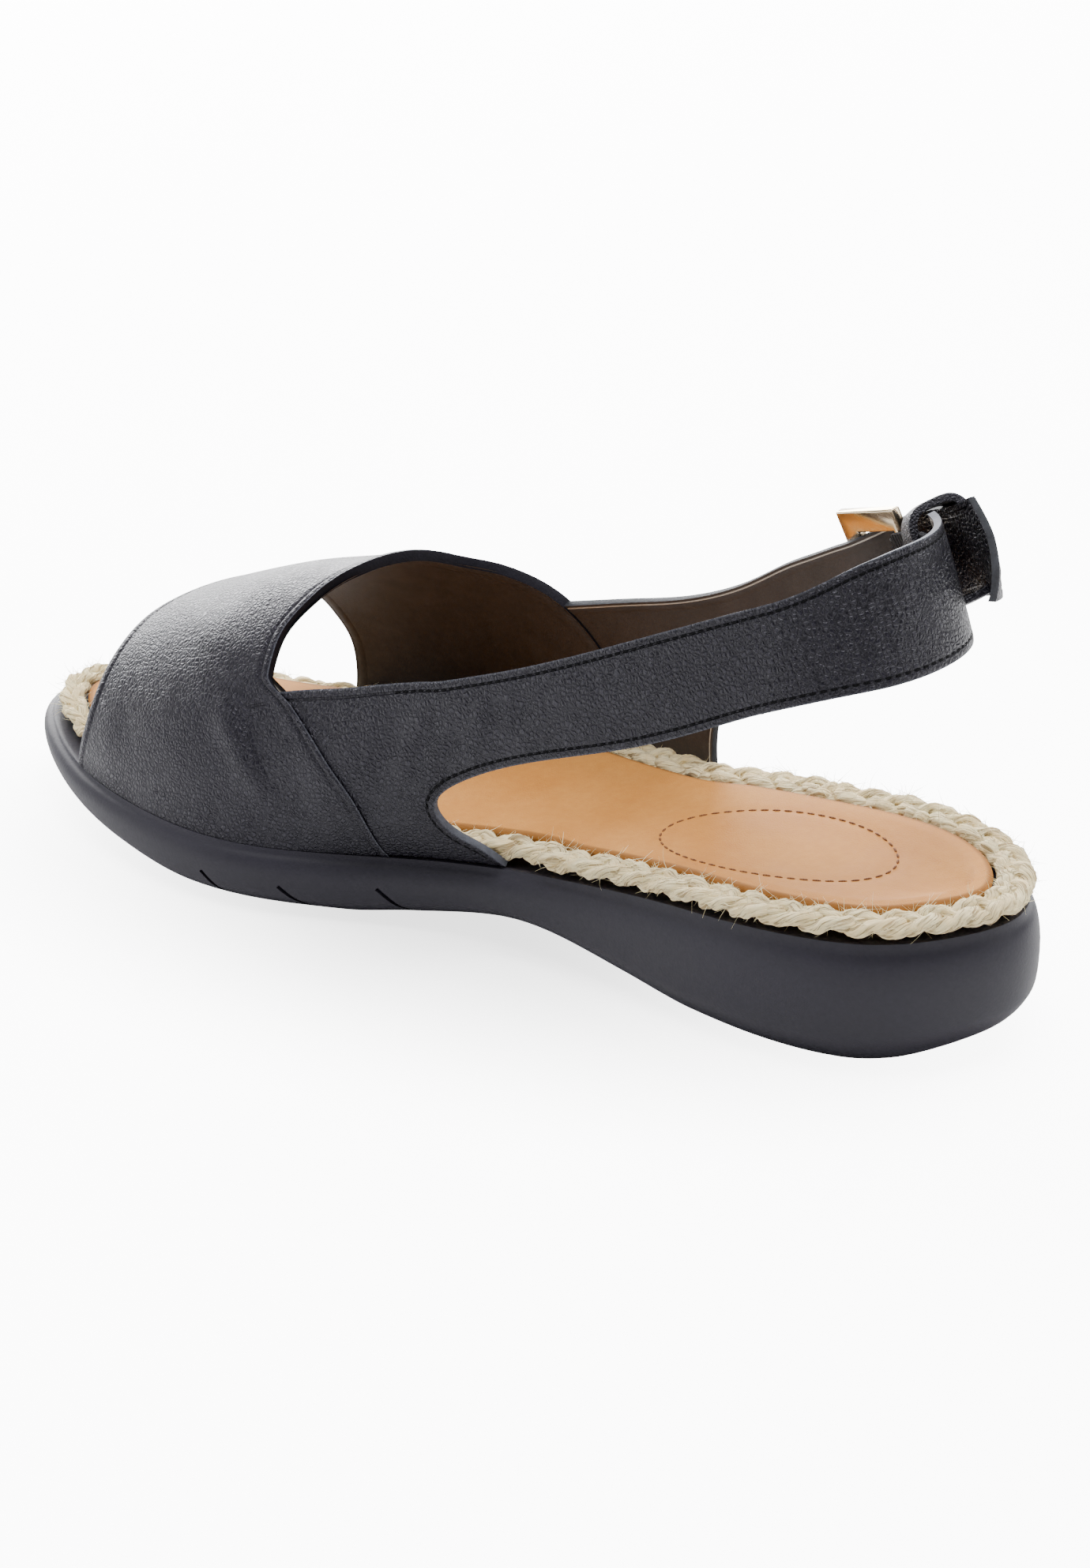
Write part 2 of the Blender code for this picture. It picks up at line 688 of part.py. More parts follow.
def strap_place(at, stand):
    """Middle, back, up and out directions and width of the buckled strap at a path."""
    samples = band_rows(OUTER_STRAP, 200)
    samples[:, 4] = stand
    number = int(np.argmin(np.abs(samples[:, 0] + samples[:, 2] - 2 * at)))
    near, here, far = (band_wall(samples[[i]], -1, 0.0)[0] for i in (number - 8, number, number + 8))
    back = far.mean(axis=0) - near.mean(axis=0)
    back /= np.linalg.norm(back)
    up = here[-1] - here[0]
    up -= back * (up @ back)
    width = float(np.linalg.norm(up))
    up /= width
    return here.mean(axis=0), back, up, np.cross(up, back), width


def buckle_place():
    """The buckle's own directions: tilted against the strap, its back turned towards the heel."""
    middle, back, up, out, width = strap_place(BUCKLE_AT, BUCKLE_STAND)
    tilt, turn = math.radians(BUCKLE_TILT), math.radians(BUCKLE_TURN)
    back, up = back * math.cos(tilt) - up * math.sin(tilt), up * math.cos(tilt) + back * math.sin(tilt)
    back, out = back * math.cos(turn) - out * math.sin(turn), out * math.cos(turn) + back * math.sin(turn)
    return middle, back, up, out, width


def placed(frame, points):
    """Points given as (back, up, out) from the middle of a local frame."""
    middle, back, up, out = frame[:4]
    return [middle + back * b + up * u + out * o for b, u, o in points]


def block(name, frame, low, high):
    """A plain metal box in a local frame."""
    corners = [(b, u, o) for o in (low[2], high[2]) for u in (low[1], high[1]) for b in (low[0], high[0])]
    faces = [(0, 1, 3, 2), (4, 6, 7, 5), (0, 4, 5, 1), (2, 3, 7, 6), (0, 2, 6, 4), (1, 5, 7, 3)]
    return new_object(name, placed(frame, corners), faces, METAL, 0.3, 1.0)


def eye(name, frame, wall, reach, colour, roughness, metallic):
    """A ring round the buckle's slim bar, as wide as twice the reach."""
    inside = BAR_RADIUS * math.sqrt(2.0) + CLEARANCE
    section = ((inside, -reach), (inside + wall, -reach), (inside + wall, reach), (inside, reach))
    rings = []
    for step in range(EYE_STEPS):
        turn = 2 * math.pi * step / EYE_STEPS
        b, o = math.cos(turn), math.sin(turn)
        rings.append(placed(frame, [(BAR_AT + b * r, u, o * r) for r, u in section]))
    points, faces = tube(rings)
    return new_object(name, points, faces, colour, roughness, metallic)


BAR_AT = FRAME_ALONG / 2 - BAR_RADIUS
THROUGH = 0.01


def make_buckle_frame(frame):
    """The frame: three flat sides and a slim bar at the back, which the elastic loops round."""
    half, window, thick = FRAME_ALONG / 2, frame[4] / 2 + FRAME_PLAY, FRAME_THICKNESS / 2
    tall = window + FRAME_BAR
    body = block("buckle_frame", frame, (-half, -tall, -thick), (half, tall, thick))
    edge = body.modifiers.new("rounded", "BEVEL")
    edge.width, edge.segments = FRAME_THICKNESS * EDGE_ROUND, 2
    low, high = (-half + FRAME_BAR, -window, -THROUGH), (half - 2 * BAR_RADIUS, window, THROUGH)
    combine(body, block("buckle_window", frame, low, high), "DIFFERENCE")


def make_elastic(frame):
    """The elastic: a band sewn inside the heel strap's end and looped round the buckle's bar."""
    samples = band_rows(ELASTIC_ROWS, ELASTIC_STEPS)
    outside = QUARTER_LIFT - CLEARANCE
    inner, outer = (band_wall(samples, -1, lift, 2) for lift in (outside - ELASTIC_WALL, outside))
    points, faces = shell(outer, inner)
    elastic = new_object("elastic_gore", points, faces, RUBBER_WEB, 0.9)
    reach = frame[4] / 2 - ELASTIC_MARGIN
    combine(elastic, eye("elastic_loop", frame, ELASTIC_WALL, reach, RUBBER_WEB, 0.9, 0.0), "UNION")
    slot = PRONG_RADIUS + 2 * CLEARANCE
    start = BAR_AT - 2 * BAR_RADIUS - 2 * ELASTIC_WALL
    opening = block("elastic_slot", frame, (start, -slot, -THROUGH), (FRAME_ALONG, slot, 2 * THROUGH))
    combine(elastic, opening, "DIFFERENCE")


def prong_reach(extra):
    """The prong's box from its eye to the frame's front side, grown by a clearance."""
    low, half = FRAME_THICKNESS / 2 + CLEARANCE, PRONG_RADIUS + extra
    front, top = CLEARANCE - FRAME_ALONG / 2 - extra, low + 2 * PRONG_RADIUS + extra
    return (front, -half, low - extra), (BAR_AT + extra, half, top)


def make_prong(frame):
    low, high = prong_reach(0.0)
    prong = block("buckle_prong", frame, low, high)
    edge = prong.modifiers.new("rounded", "BEVEL")
    edge.width, edge.segments = PRONG_RADIUS * EDGE_ROUND, 2
    combine(prong, eye("prong_eye", frame, PRONG_RADIUS, PRONG_RADIUS, METAL, 0.3, 1.0), "UNION")


def make_keeper():
    """The loop of narrow leather round the elastic and the strap's free end."""
    frame = strap_place(KEEPER_AT, 0.0)
    inside = QUARTER_LIFT - ELASTIC_WALL - 2 * CLEARANCE - KEEPER_PLAY
    tall, centre = frame[4] / 2 + KEEPER_ABOVE, inside + KEEPER_OUT
    half = KEEPER_WIDTH / 2
    rings = []
    for step in range(KEEPER_STEPS):
        turn = 2 * math.pi * step / KEEPER_STEPS
        c, s = (math.copysign(abs(f(turn)) ** KEEPER_SQUARE, f(turn)) for f in (math.cos, math.sin))
        section = ((-half, 0.0), (-half, KEEPER_WALL), (half, KEEPER_WALL), (half, 0.0))
        ring = [(b, s * (tall + w), centre + c * (KEEPER_OUT + w)) for b, w in section]
        rings.append(placed(frame, ring))
    points, faces = tube(rings)
    new_object("keeper_loop", points, faces, LEATHER, 0.5)


def make_upper(frame):
    """Vamp, inner quarter with the heel strap, and outer quarter with the buckled strap."""
    front, throat = column(VAMP_ROWS, 1), column(VAMP_ROWS, 2)
    walls = {0.0: [], VAMP_WALL: []}
    for around in np.linspace(0.0, 1.0, VAMP_ROUND_STEPS + 1):
        steps = np.linspace(float(front(around)), float(throat(around)), VAMP_LONG_STEPS + 1)
        for stand, wall in walls.items():
            wall.append([over_foot(path, around, stand) for path in steps])
    inner, outer = np.array(walls[0.0]), np.array(walls[VAMP_WALL])
    for wall in (inner, outer):
        stand_on_sole(wall[0])
        stand_on_sole(wall[-1])
    points, faces = shell(outer, inner)
    upper = new_object("upper", points, faces, LEATHER, 0.5, smooth=38.0)
    combine(upper, band("inner_quarter", INNER_LEG, INNER_STRAP, 1), "UNION")
    combine(upper, band("inner_corner", INNER_CORNER, [], 1, CORNER_SLIM), "UNION")
    outer_quarter = band("outer_quarter", OUTER_LEG, OUTER_STRAP, -1)
    low, high = prong_reach(CLEARANCE)
    combine(outer_quarter, block("prong_hole", frame, low, high), "DIFFERENCE")
    combine(upper, outer_quarter, "UNION")


def main():
    for thing in list(bpy.data.objects):
        bpy.data.objects.remove(thing, do_unlink=True)
    make_outsole()
    make_rope_welt()
    make_footbed()
    frame = buckle_place()
    make_upper(frame)
    make_elastic(frame)
    make_buckle_frame(frame)
    make_prong(frame)
    make_keeper()


main()
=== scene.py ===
"""The looks of a slingback sandal, a right shoe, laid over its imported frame.

Units are metres, +Z is up, +X points to the toe and +Y to the inner side of the foot. The origin
is on the floor under the heel.
"""

import math

import bpy
import numpy as np
from mathutils import Matrix, Vector


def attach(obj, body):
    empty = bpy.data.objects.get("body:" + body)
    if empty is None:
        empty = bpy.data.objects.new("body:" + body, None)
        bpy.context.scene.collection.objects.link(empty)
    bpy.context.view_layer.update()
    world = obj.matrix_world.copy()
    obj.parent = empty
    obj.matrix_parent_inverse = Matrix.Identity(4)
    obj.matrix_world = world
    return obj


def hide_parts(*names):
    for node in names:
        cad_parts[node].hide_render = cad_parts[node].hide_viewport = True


bl_info = {
    "name": "Slingback sandal",
    "version": (1, 0, 0),
    "blender": (4, 5, 0),
    "location": "View3D > Sidebar > Sandal",
    "description": "Dresses the frame of a slingback sandal piece by piece",
    "category": "Object",
}

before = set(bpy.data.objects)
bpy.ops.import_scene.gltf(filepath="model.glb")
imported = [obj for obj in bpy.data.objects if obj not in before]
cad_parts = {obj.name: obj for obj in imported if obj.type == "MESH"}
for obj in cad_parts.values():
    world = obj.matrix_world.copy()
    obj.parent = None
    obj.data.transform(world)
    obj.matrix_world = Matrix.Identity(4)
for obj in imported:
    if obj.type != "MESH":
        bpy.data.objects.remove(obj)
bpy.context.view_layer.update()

# Sole, in metres and in shares of these sizes
SOLE_LENGTH = 0.262
HEEL_REST_IN = 0.036
HEEL_WIDTH = 0.066
WAIST_WIDTH = 0.064
BALL_WIDTH = 0.092
TOE_WIDTH = 0.075
HEEL_HEIGHT = 0.032
TOE_SPRING = 0.012
SIDE_BULGE = 0.0026
TREAD_IN = 0.0085
NOTCH_WIDTH = 0.0009
NOTCH_DEPTH = 0.0040
NOTCH_HEIGHT = 0.0078
NOTCH_LEAN = 48.0
NOTCH_SLOPE = 0.64
TIP_SIDE = -0.010
OUTLINE_STEPS = 170
SIDE_STEPS = 34
LIP_IN = 0.0006
LIP_HIGH = 0.00015
LIP_WIDE = 0.0014

# Upper
VAMP_WALL = 0.0026
QUARTER_LIFT = 0.0006
QUARTER_WALL = 0.0017
RIM_SETBACK = 0.0002
INSTEP_HEIGHT = 0.080
STRAP_TOP_HEIGHT = 0.115
HEEL_LOOP_RADIUS = 0.0275
HEEL_LOOP_IN = 0.012
CLEARANCE = 0.0003

# Rope and footbed
ROPE_WIDTH = 0.0068
ROPE_SHIFT = 0.0020
ROPE_HEIGHT = 0.0060
STRAND_PITCH = 0.0086
ROPE_OVERHANG = 0.0012
TOE_SLIM = 0.28
# Beside the outer forefoot the rope sinks: how deep, shares of the sole where it starts and ends,
# the shares over which it does, and how far out
ROPE_SINK = 0.0024
SINK_FROM = 0.50
SINK_FADE = 0.12
SINK_TO = 0.97
SINK_FADE_TO = 0.10
SINK_SIDE = 0.012
FOOTBED_THICKNESS = 0.0044
FOOTBED_ROUND = 0.0012
HEEL_CUP = 0.0016
# The heel's cup: share of the sole up to which it is deepest, share over which it fades, curve
CUP_ENDS = 0.16
CUP_FADE = 0.24
CUP_CURVE = 1.5
# Insets of the rings on the footbed's top, and points from side to side
BED_INSETS = (0.0017, 0.0022, 0.0030, 0.0040)
BED_STEPS = 62
# Stitched oval: middle, half length and half width, depth and fade of its groove, thread
OVAL_AT = (0.0248, -0.0015)
OVAL_HALF = (0.0290, 0.0168)
OVAL_SUNK = 0.00018
OVAL_FADE = 0.0012
OVAL_THREAD_WIDTH = 0.00060
# Strand: rings along it, points round it, seed of its wander, width of its map, slant of fibres
STRAND_STEPS = 1400
STRAND_AROUND = 18
STRAND_SEED = 11
STRAND_ROUND = 0.0085
STRAND_TWIST = 0.55
# Plies of a strand: length of a full twist and their number
PLY_PITCH = 0.0042
PLIES = 5
# Loose fibres: seed, shortest and longest, thinnest and thickest, corners, parts along one
FUZZ_SEED = 5
HAIR_LENGTH = (0.0010, 0.0042)
HAIR_RADIUS = (0.00004, 0.00009)
HAIR_CORNERS = (0.0, 2.094, 4.189)
HAIR_STEPS = 3
# Insets of the rope and of the footbed from the rim
ROPE_IN = RIM_SETBACK + VAMP_WALL + CLEARANCE
FOOTBED_IN = ROPE_IN + ROPE_WIDTH + CLEARANCE

# Buckle, keeper and elastic
FRAME_ALONG = 0.0195
FRAME_BAR = 0.0053
FRAME_THICKNESS = 0.0022
FRAME_PLAY = 0.0001
BAR_RADIUS = 0.0011
PRONG_RADIUS = 0.0009
ELASTIC_WALL = 0.0012
ELASTIC_MARGIN = 0.0012
KEEPER_WIDTH = 0.0072
KEEPER_WALL = 0.0017
KEEPER_ABOVE = 0.0006
KEEPER_OUT = 0.0064
KEEPER_PLAY = 0.0008
KEEPER_SQUARE = 0.6
KEEPER_CORNER = 0.00045
KEEPER_CROWN = 0.0001
KEEPER_STEPS = 96
BUCKLE_STAND = 0.0039
BUCKLE_AT = 0.011
BUCKLE_TILT = 8.0
BUCKLE_TURN = 10.0
KEEPER_AT = -0.062
BAR_AT = FRAME_ALONG / 2 - BAR_RADIUS

# Rim seen from above: share of length, width it follows, inner share, outer share
OUTLINE = [
    (0.024, HEEL_WIDTH, 0.215, 0.255),
    (0.075, HEEL_WIDTH, 0.405, 0.415),
    (0.150, HEEL_WIDTH, 0.480, 0.500),
    (0.270, WAIST_WIDTH, 0.440, 0.560),
    (0.420, WAIST_WIDTH, 0.345, 0.670),
    (0.560, BALL_WIDTH, 0.300, 0.550),
    (0.700, BALL_WIDTH, 0.420, 0.555),
    (0.820, BALL_WIDTH, 0.380, 0.485),
    (0.930, TOE_WIDTH, 0.290, 0.390),
]
RIM_ROWS = [
    (0.00, 1.000), (0.12, 0.969), (0.25, 0.869), (0.40, 0.672), (0.50, 0.578),
    (0.60, 0.516), (0.75, 0.484), (0.88, 0.494), (1.00, 0.590),
]
TREAD_ROWS = [
    (0.00, 0.290), (0.06, 0.040), (0.10, 0.0), (0.25, 0.0), (0.33, 0.165), (0.44, 0.460),
    (0.54, 0.165), (0.60, 0.0), (0.74, 0.0), (0.83, 0.210), (0.92, 0.580), (1.00, 1.000),
]
# Side of the sole: share of SIDE_BULGE outwards, share of TREAD_IN inwards, share of height
SIDE_ROWS = [
    (0.00, 1.00, 0.00), (0.00, 0.62, 0.02), (0.00, 0.16, 0.12), (0.55, 0.00, 0.26), (0.95, 0.00, 0.44),
    (1.00, 0.00, 0.60), (0.80, 0.00, 0.78), (0.36, 0.00, 0.90), (0.10, 0.00, 0.955), (0.00, 0.00, 1.00),
]
INNER_BARE = (0.450, 0.920)
OUTER_BARE = (0.370, 0.820)
BARE_RAMP = 0.060
NOTCHES = [0.205, 0.530, 0.615, 0.690]

# Last: path along the foot, ridge height, ridge side, inner wall, outer wall
LAST_ROWS = [
    (-0.45, 2.400, 0.000, 0.294, 0.294),
    (-0.15, 2.200, 0.000, 0.298, 0.300),
    (0.00, 2.060, 0.000, 0.302, 0.317),
    (0.10, 1.940, 0.000, 0.317, 0.361),
    (0.24, 1.600, 0.000, 0.339, 0.444),
    (0.34, 1.200, 0.011, 0.356, 0.489),
    (0.44, 0.940, 0.033, 0.376, 0.520),
    (0.56, 0.800, 0.033, 0.378, 0.520),
    (0.66, 0.650, 0.000, 0.330, 0.485),
    (0.74, 0.517, -0.011, 0.240, 0.400),
    (0.82, 0.400, -0.011, 0.130, 0.260),
]
ROUNDNESS = 2.2
WALL_SETTLES = 0.45
LOOP_BLEND = 0.10
LOOP_WALL = 0.302
STRAP_LEAN = 0.20
LEAN_FROM = 0.05
LEAN_OVER = 0.14
STRAP_MIDDLE = 0.879
STRAP_FALL = 0.9
STRAP_LEVEL_TO = -0.10
FOOT_SETTLES = 0.004
SETTLES_FROM = 0.05
NUDGE = 0.002

# Vamp: share of the way round, path of the front edge, path of the throat edge
VAMP_ROWS = [
    (0.00, 0.716, 0.378), (0.06, 0.709, 0.391), (0.12, 0.703, 0.421), (0.19, 0.699, 0.462),
    (0.24, 0.697, 0.496), (0.30, 0.694, 0.498), (0.40, 0.688, 0.484), (0.50, 0.674, 0.466),
    (0.60, 0.652, 0.452), (0.68, 0.634, 0.440), (0.75, 0.623, 0.408), (0.84, 0.619, 0.361),
    (0.92, 0.611, 0.320), (1.00, 0.606, 0.285),
]

# Inner quarter and heel strap: path and height of the low edge, of the point that the cross
# line bends towards, and of the high edge; heights are shares of STRAP_TOP_HEIGHT
ON_RIM = None
INNER_ROWS = [
    (0.530, ON_RIM, 0.536, 0.290, 0.540, 0.395),
    (0.460, ON_RIM, 0.480, 0.300, 0.490, 0.440),
    (0.380, ON_RIM, 0.415, 0.300, 0.440, 0.477),
    (0.320, ON_RIM, 0.374, 0.285, 0.405, 0.502),
    (0.268, ON_RIM, 0.348, 0.275, 0.378, 0.524),
    (0.286, 0.222, 0.344, 0.315, 0.366, 0.533),
    (0.303, 0.246, 0.340, 0.350, 0.356, 0.541),
    (0.315, 0.278, 0.335, 0.385, 0.345, 0.549),
    (0.318, 0.310, 0.330, 0.420, 0.333, 0.558),
    (0.310, 0.345, 0.316, 0.455, 0.318, 0.568),
    (0.288, 0.386, 0.291, 0.490, 0.293, 0.590),
    (0.237, 0.448, 0.237, 0.546, 0.237, 0.643),
    (0.120, 0.552, 0.120, 0.660, 0.120, 0.768),
    (0.040, 0.640, 0.040, 0.748, 0.040, 0.856),
    (-0.021, 0.709, -0.021, 0.815, -0.021, 0.921),
    (-0.070, 0.747, -0.070, 0.859, -0.070, 0.971),
    (-0.120, 0.761, -0.120, 0.879, -0.120, 0.997),
    (-0.172, 0.761, -0.175, 0.879, -0.178, 0.997),
    (-0.240, 0.740, -0.250, 0.860, -0.262, 0.978),
]
# Outer quarter and buckled strap: low path, low height, high path, high height, stand off
OUTER_ROWS = [
    (0.500, ON_RIM, 0.480, 0.400, 0.0),
    (0.380, ON_RIM, 0.390, 0.462, 0.0),
    (0.260, ON_RIM, 0.325, 0.508, 0.0),
    (0.200, ON_RIM, 0.290, 0.533, 0.0),
    (0.202, 0.290, 0.262, 0.553, 0.0),
    (0.184, 0.400, 0.222, 0.588, 0.0),
    (0.140, 0.470, 0.164, 0.659, 0.0),
    (0.095, 0.539, 0.116, 0.736, 0.0),
    (0.063, 0.590, 0.088, 0.775, 0.0),
    (0.034, 0.634, 0.064, 0.808, 0.0002),
    (0.014, 0.663, 0.048, 0.829, 0.0006),
    (-0.002, 0.686, 0.032, 0.851, 0.0026),
    (-0.018, 0.706, 0.016, 0.872, 0.0052),
    (-0.034, 0.728, 0.000, 0.893, 0.0068),
    (-0.050, 0.754, -0.015, 0.914, 0.0075),
    (-0.070, 0.786, -0.034, 0.938, 0.0076),
    (-0.098, 0.822, -0.052, 0.961, 0.0080),
    (-0.148, 0.870, -0.070, 0.988, 0.0100),
]
ELASTIC_ROWS = [
    (-0.034, 0.746, -0.002, 0.885, 0.0006),
    (-0.054, 0.779, -0.026, 0.910, -0.0002),
    (-0.074, 0.806, -0.052, 0.930, -0.0009),
    (-0.096, 0.816, -0.082, 0.945, -0.0009),
    (-0.122, 0.818, -0.106, 0.950, -0.0009),
]

# Creases as soft troughs: path and height (a share of STRAP_TOP_HEIGHT) of both ends, depth, width
QUARTER_CREASES = [
    (0.300, 0.560, 0.345, 0.340, 0.00110, 0.0026),
    (0.270, 0.580, 0.325, 0.320, 0.00080, 0.0022),
    (0.330, 0.540, 0.390, 0.280, 0.00100, 0.0030),
    (0.250, 0.600, 0.262, 0.470, 0.00060, 0.0022),
    (0.225, 0.640, 0.232, 0.500, 0.00040, 0.0020),
    (0.300, 0.420, 0.400, 0.230, 0.00070, 0.0034),
    (-0.060, 0.950, -0.066, 0.780, 0.00030, 0.0016),
    (-0.080, 0.960, -0.084, 0.780, 0.00028, 0.0013),
    (-0.100, 0.970, -0.102, 0.790, 0.00030, 0.0014),
    (-0.040, 0.930, -0.048, 0.760, 0.00022, 0.0016),
]
# The same on the vamp: path, share of the way round
VAMP_CREASES = [
    (0.520, 0.235, 0.440, 0.030, 0.00110, 0.0045),
    (0.556, 0.222, 0.476, 0.035, -0.00120, 0.0038),
    (0.640, 0.360, 0.560, 0.170, 0.00030, 0.0060),
    (0.600, 0.520, 0.540, 0.300, 0.00025, 0.0070),
    (0.660, 0.200, 0.640, 0.060, 0.00025, 0.0040),
]
# Cross lines of each leather piece, and the length round the foot that the creases reckon with
VAMP_STEPS = 180
INNER_STEPS = 330
OUTER_STEPS = 300
VAMP_GIRTH = 0.20
# Folded throat edge and its groove, then the same at the front edge: height, distance in, width
VAMP_HEMS = [
    (0.00030, 0.0012, 0.0009), (-0.00040, 0.0026, 0.00035),
    (0.00015, 0.0010, 0.0008), (-0.00022, 0.0021, 0.00035),
]
STITCH_IN = 0.0019
LEATHER_GLEAM = (0.90, 0.88, 1.0, 1.0)
# Depth and width of the sewn groove and of the rounding of a cut edge
STITCH_SUNK = 0.00014
STITCH_GROOVE = 0.00035
EDGE_DROP = 0.00012
EDGE_FADE = 0.0005
THREAD_WIDTH = 0.00048
# How far on both sides of a stitch its direction is read
SPOT_REACH = 0.0004
# Lines laid close together near an edge, from the edge inwards
INSETS = np.array([0.0, 0.25, 0.5, 0.8, 1.1, 1.4, 1.65, 1.9, 2.15, 2.4, 2.8, 3.4, 4.2]) / 1000
# How deep the footbed sinks from side to side, as a share of HEEL_CUP
BED_ROWS = [(0.0, 0.0), (0.14, 0.45), (0.32, 0.9), (0.5, 1.0), (0.68, 0.9), (0.86, 0.45), (1.0, 0.0)]

# Camera, fitted to the photo: target, turn, lift, distance, lens in mm
CAMERA_TARGET = (0.08368, 0.00309, 0.03306)
CAMERA_AZIMUTH = 213.563
CAMERA_ELEVATION = 26.0
CAMERA_DISTANCE = 1.1
CAMERA_LENS = 111.34
# Oval of painted shadow on the paper, where its glow fades beside the shoe
PAINTED_SHADOW_AT = (0.100, 0.022, 0.0)
PAINTED_SHADOW_SIZE = (0.165, 0.085, 1.0)
LAMP_TARGET = (0.09, 0.0, 0.03)
# Softboxes: name, place, width, height, the stage value that holds the power
LAMPS = (
    ("overhead_softbox", (0.20, 0.10, 1.50), 1.00, 1.00, "overhead"),
    ("left_softbox", (1.15, 0.85, 0.60), 0.60, 0.60, "key"),
    ("back_softbox", (-0.15, -0.95, 1.15), 1.10, 1.10, "back"),
    ("low_softbox", (1.08, -0.80, 0.46), 1.30, 0.70, "low"),
    ("heel_softbox", (-1.00, -0.35, 0.45), 0.35, 0.35, "heel"),
)


def spline(rows, closed=False):
    """A smooth cubic through the rows, by chord length: the curve and the rows' places on it."""
    p = np.asarray(rows, float)
    if closed:
        p = np.vstack([p, p[:1]])
    step = np.linalg.norm(np.diff(p, axis=0), axis=1)
    place = np.concatenate([[0.0], np.cumsum(step)])
    count = len(p) - 1 if closed else len(p)
    left, right = np.zeros((count, count)), np.zeros((count, p.shape[1]))
    for i in range(count):
        if not closed and i in (0, count - 1):
            a, b = (0, 1) if i == 0 else (count - 1, count - 2)
            left[i, a], left[i, b] = 2.0, 1.0
            right[i] = 3.0 * (p[b] - p[a]) / (step[0] if i == 0 else -step[-1])
            continue
        before, after = step[i - 1], step[i]
        left[i, (i - 1) % count] += after
        left[i, i] += 2.0 * (before + after)
        left[i, (i + 1) % count] += before
        rise = before * (p[i + 1] - p[i]) / after + after * (p[i] - p[(i - 1) % count]) / before
        right[i] = 3.0 * rise
    slope = np.linalg.solve(left, right)
    if closed:
        slope = np.vstack([slope, slope[:1]])

    def at(u):
        u = np.asarray(u, float)
        i = np.clip(np.searchsorted(place, u, side="right") - 1, 0, len(step) - 1)
        w = step[i][..., None]
        s = (u - place[i])[..., None] / w
        ends = p[i] * (1 + 2 * s) * (1 - s) ** 2 + p[i + 1] * s * s * (3 - 2 * s)
        return ends + w * s * (1 - s) ** 2 * slope[i] - w * s * s * (1 - s) * slope[i + 1]

    return at, place


def column(rows, index):
    """A smooth function of the rows' first column that never overshoots the rows."""
    x = np.array([row[0] for row in rows], float)
    y = np.array([row[index] for row in rows], float)
    h = np.diff(x)
    d = np.diff(y) / h
    m = np.zeros(len(x))
    m[0], m[-1] = d[0], d[-1]
    for i in range(1, len(x) - 1):
        if d[i - 1] * d[i] > 0:
            near, far = 2 * h[i] + h[i - 1], h[i] + 2 * h[i - 1]
            m[i] = (near + far) / (near / d[i - 1] + far / d[i])

    def at(q):
        q = np.clip(np.asarray(q, float), x[0], x[-1])
        i = np.clip(np.searchsorted(x, q, side="right") - 1, 0, len(h) - 1)
        s = (q - x[i]) / h[i]
        ends = y[i] * (1 + 2 * s) * (1 - s) ** 2 + y[i + 1] * s * s * (3 - 2 * s)
        return ends + h[i] * (s * (1 - s) ** 2 * m[i] - s * s * (1 - s) * m[i + 1])

    return at


def even(curve, start, end, steps):
    """Points at even lengths of a curve, without the last one."""
    u = np.linspace(start, end, 4000)
    q = curve(u)
    length = np.concatenate([[0.0], np.cumsum(np.linalg.norm(np.diff(q, axis=0), axis=1))])
    return curve(np.interp(np.linspace(0.0, length[-1], steps + 1), length, u))[:-1]


def rim_outline(steps):
    """The rim seen from above: heel end, inner side, toe tip, outer side back to the heel."""
    heel = -HEEL_REST_IN
    inner = [(heel + share * SOLE_LENGTH, width * side) for share, width, side, _ in OUTLINE]
    outer = [(heel + share * SOLE_LENGTH, -width * side) for share, width, _, side in OUTLINE]
    tip = (heel + SOLE_LENGTH, BALL_WIDTH * TIP_SIDE)
    curve, place = spline([(heel, 0.0)] + inner + [tip] + outer[::-1], closed=True)
    toe = len(OUTLINE) + 1
    return np.vstack([even(curve, place[0], place[toe], steps), even(curve, place[toe], place[-1], steps)])


def outwards(outline):
    """Outward directions at the points of an outline."""
    along = np.roll(outline, -1, 0) - np.roll(outline, 1, 0)
    side = np.stack([-along[:, 1], along[:, 0]], 1)
    return side / np.linalg.norm(side, axis=1)[:, None]


rim_share = column(RIM_ROWS, 1)
tread_share = column(TREAD_ROWS, 1)
ridge_share = column(LAST_ROWS, 1)
ridge_side = column(LAST_ROWS, 2)
inner_wall = column(LAST_ROWS, 3)
outer_wall = column(LAST_ROWS, 4)
FINE_RIM = rim_outline(300)
INNER_RIM = FINE_RIM[:301]
OUTER_RIM = np.vstack([FINE_RIM[300:], FINE_RIM[:1]])[::-1]


def along_sole(x):
    """Share of the sole's length, from the heel's end to the toe's tip."""
    return (np.asarray(x, float) + HEEL_REST_IN) / SOLE_LENGTH


def rim_height(x):
    """Height of the sole's upper rim."""
    return HEEL_HEIGHT * rim_share(along_sole(x))


def tread_height(x):
    """Height of the sole's underside at its edge."""
    return TOE_SPRING * tread_share(along_sole(x))


def smooth_step(share):
    """A share from 0 to 1 with a soft start and end."""
    share = np.clip(share, 0.0, 1.0)
    return share * share * (3.0 - 2.0 * share)


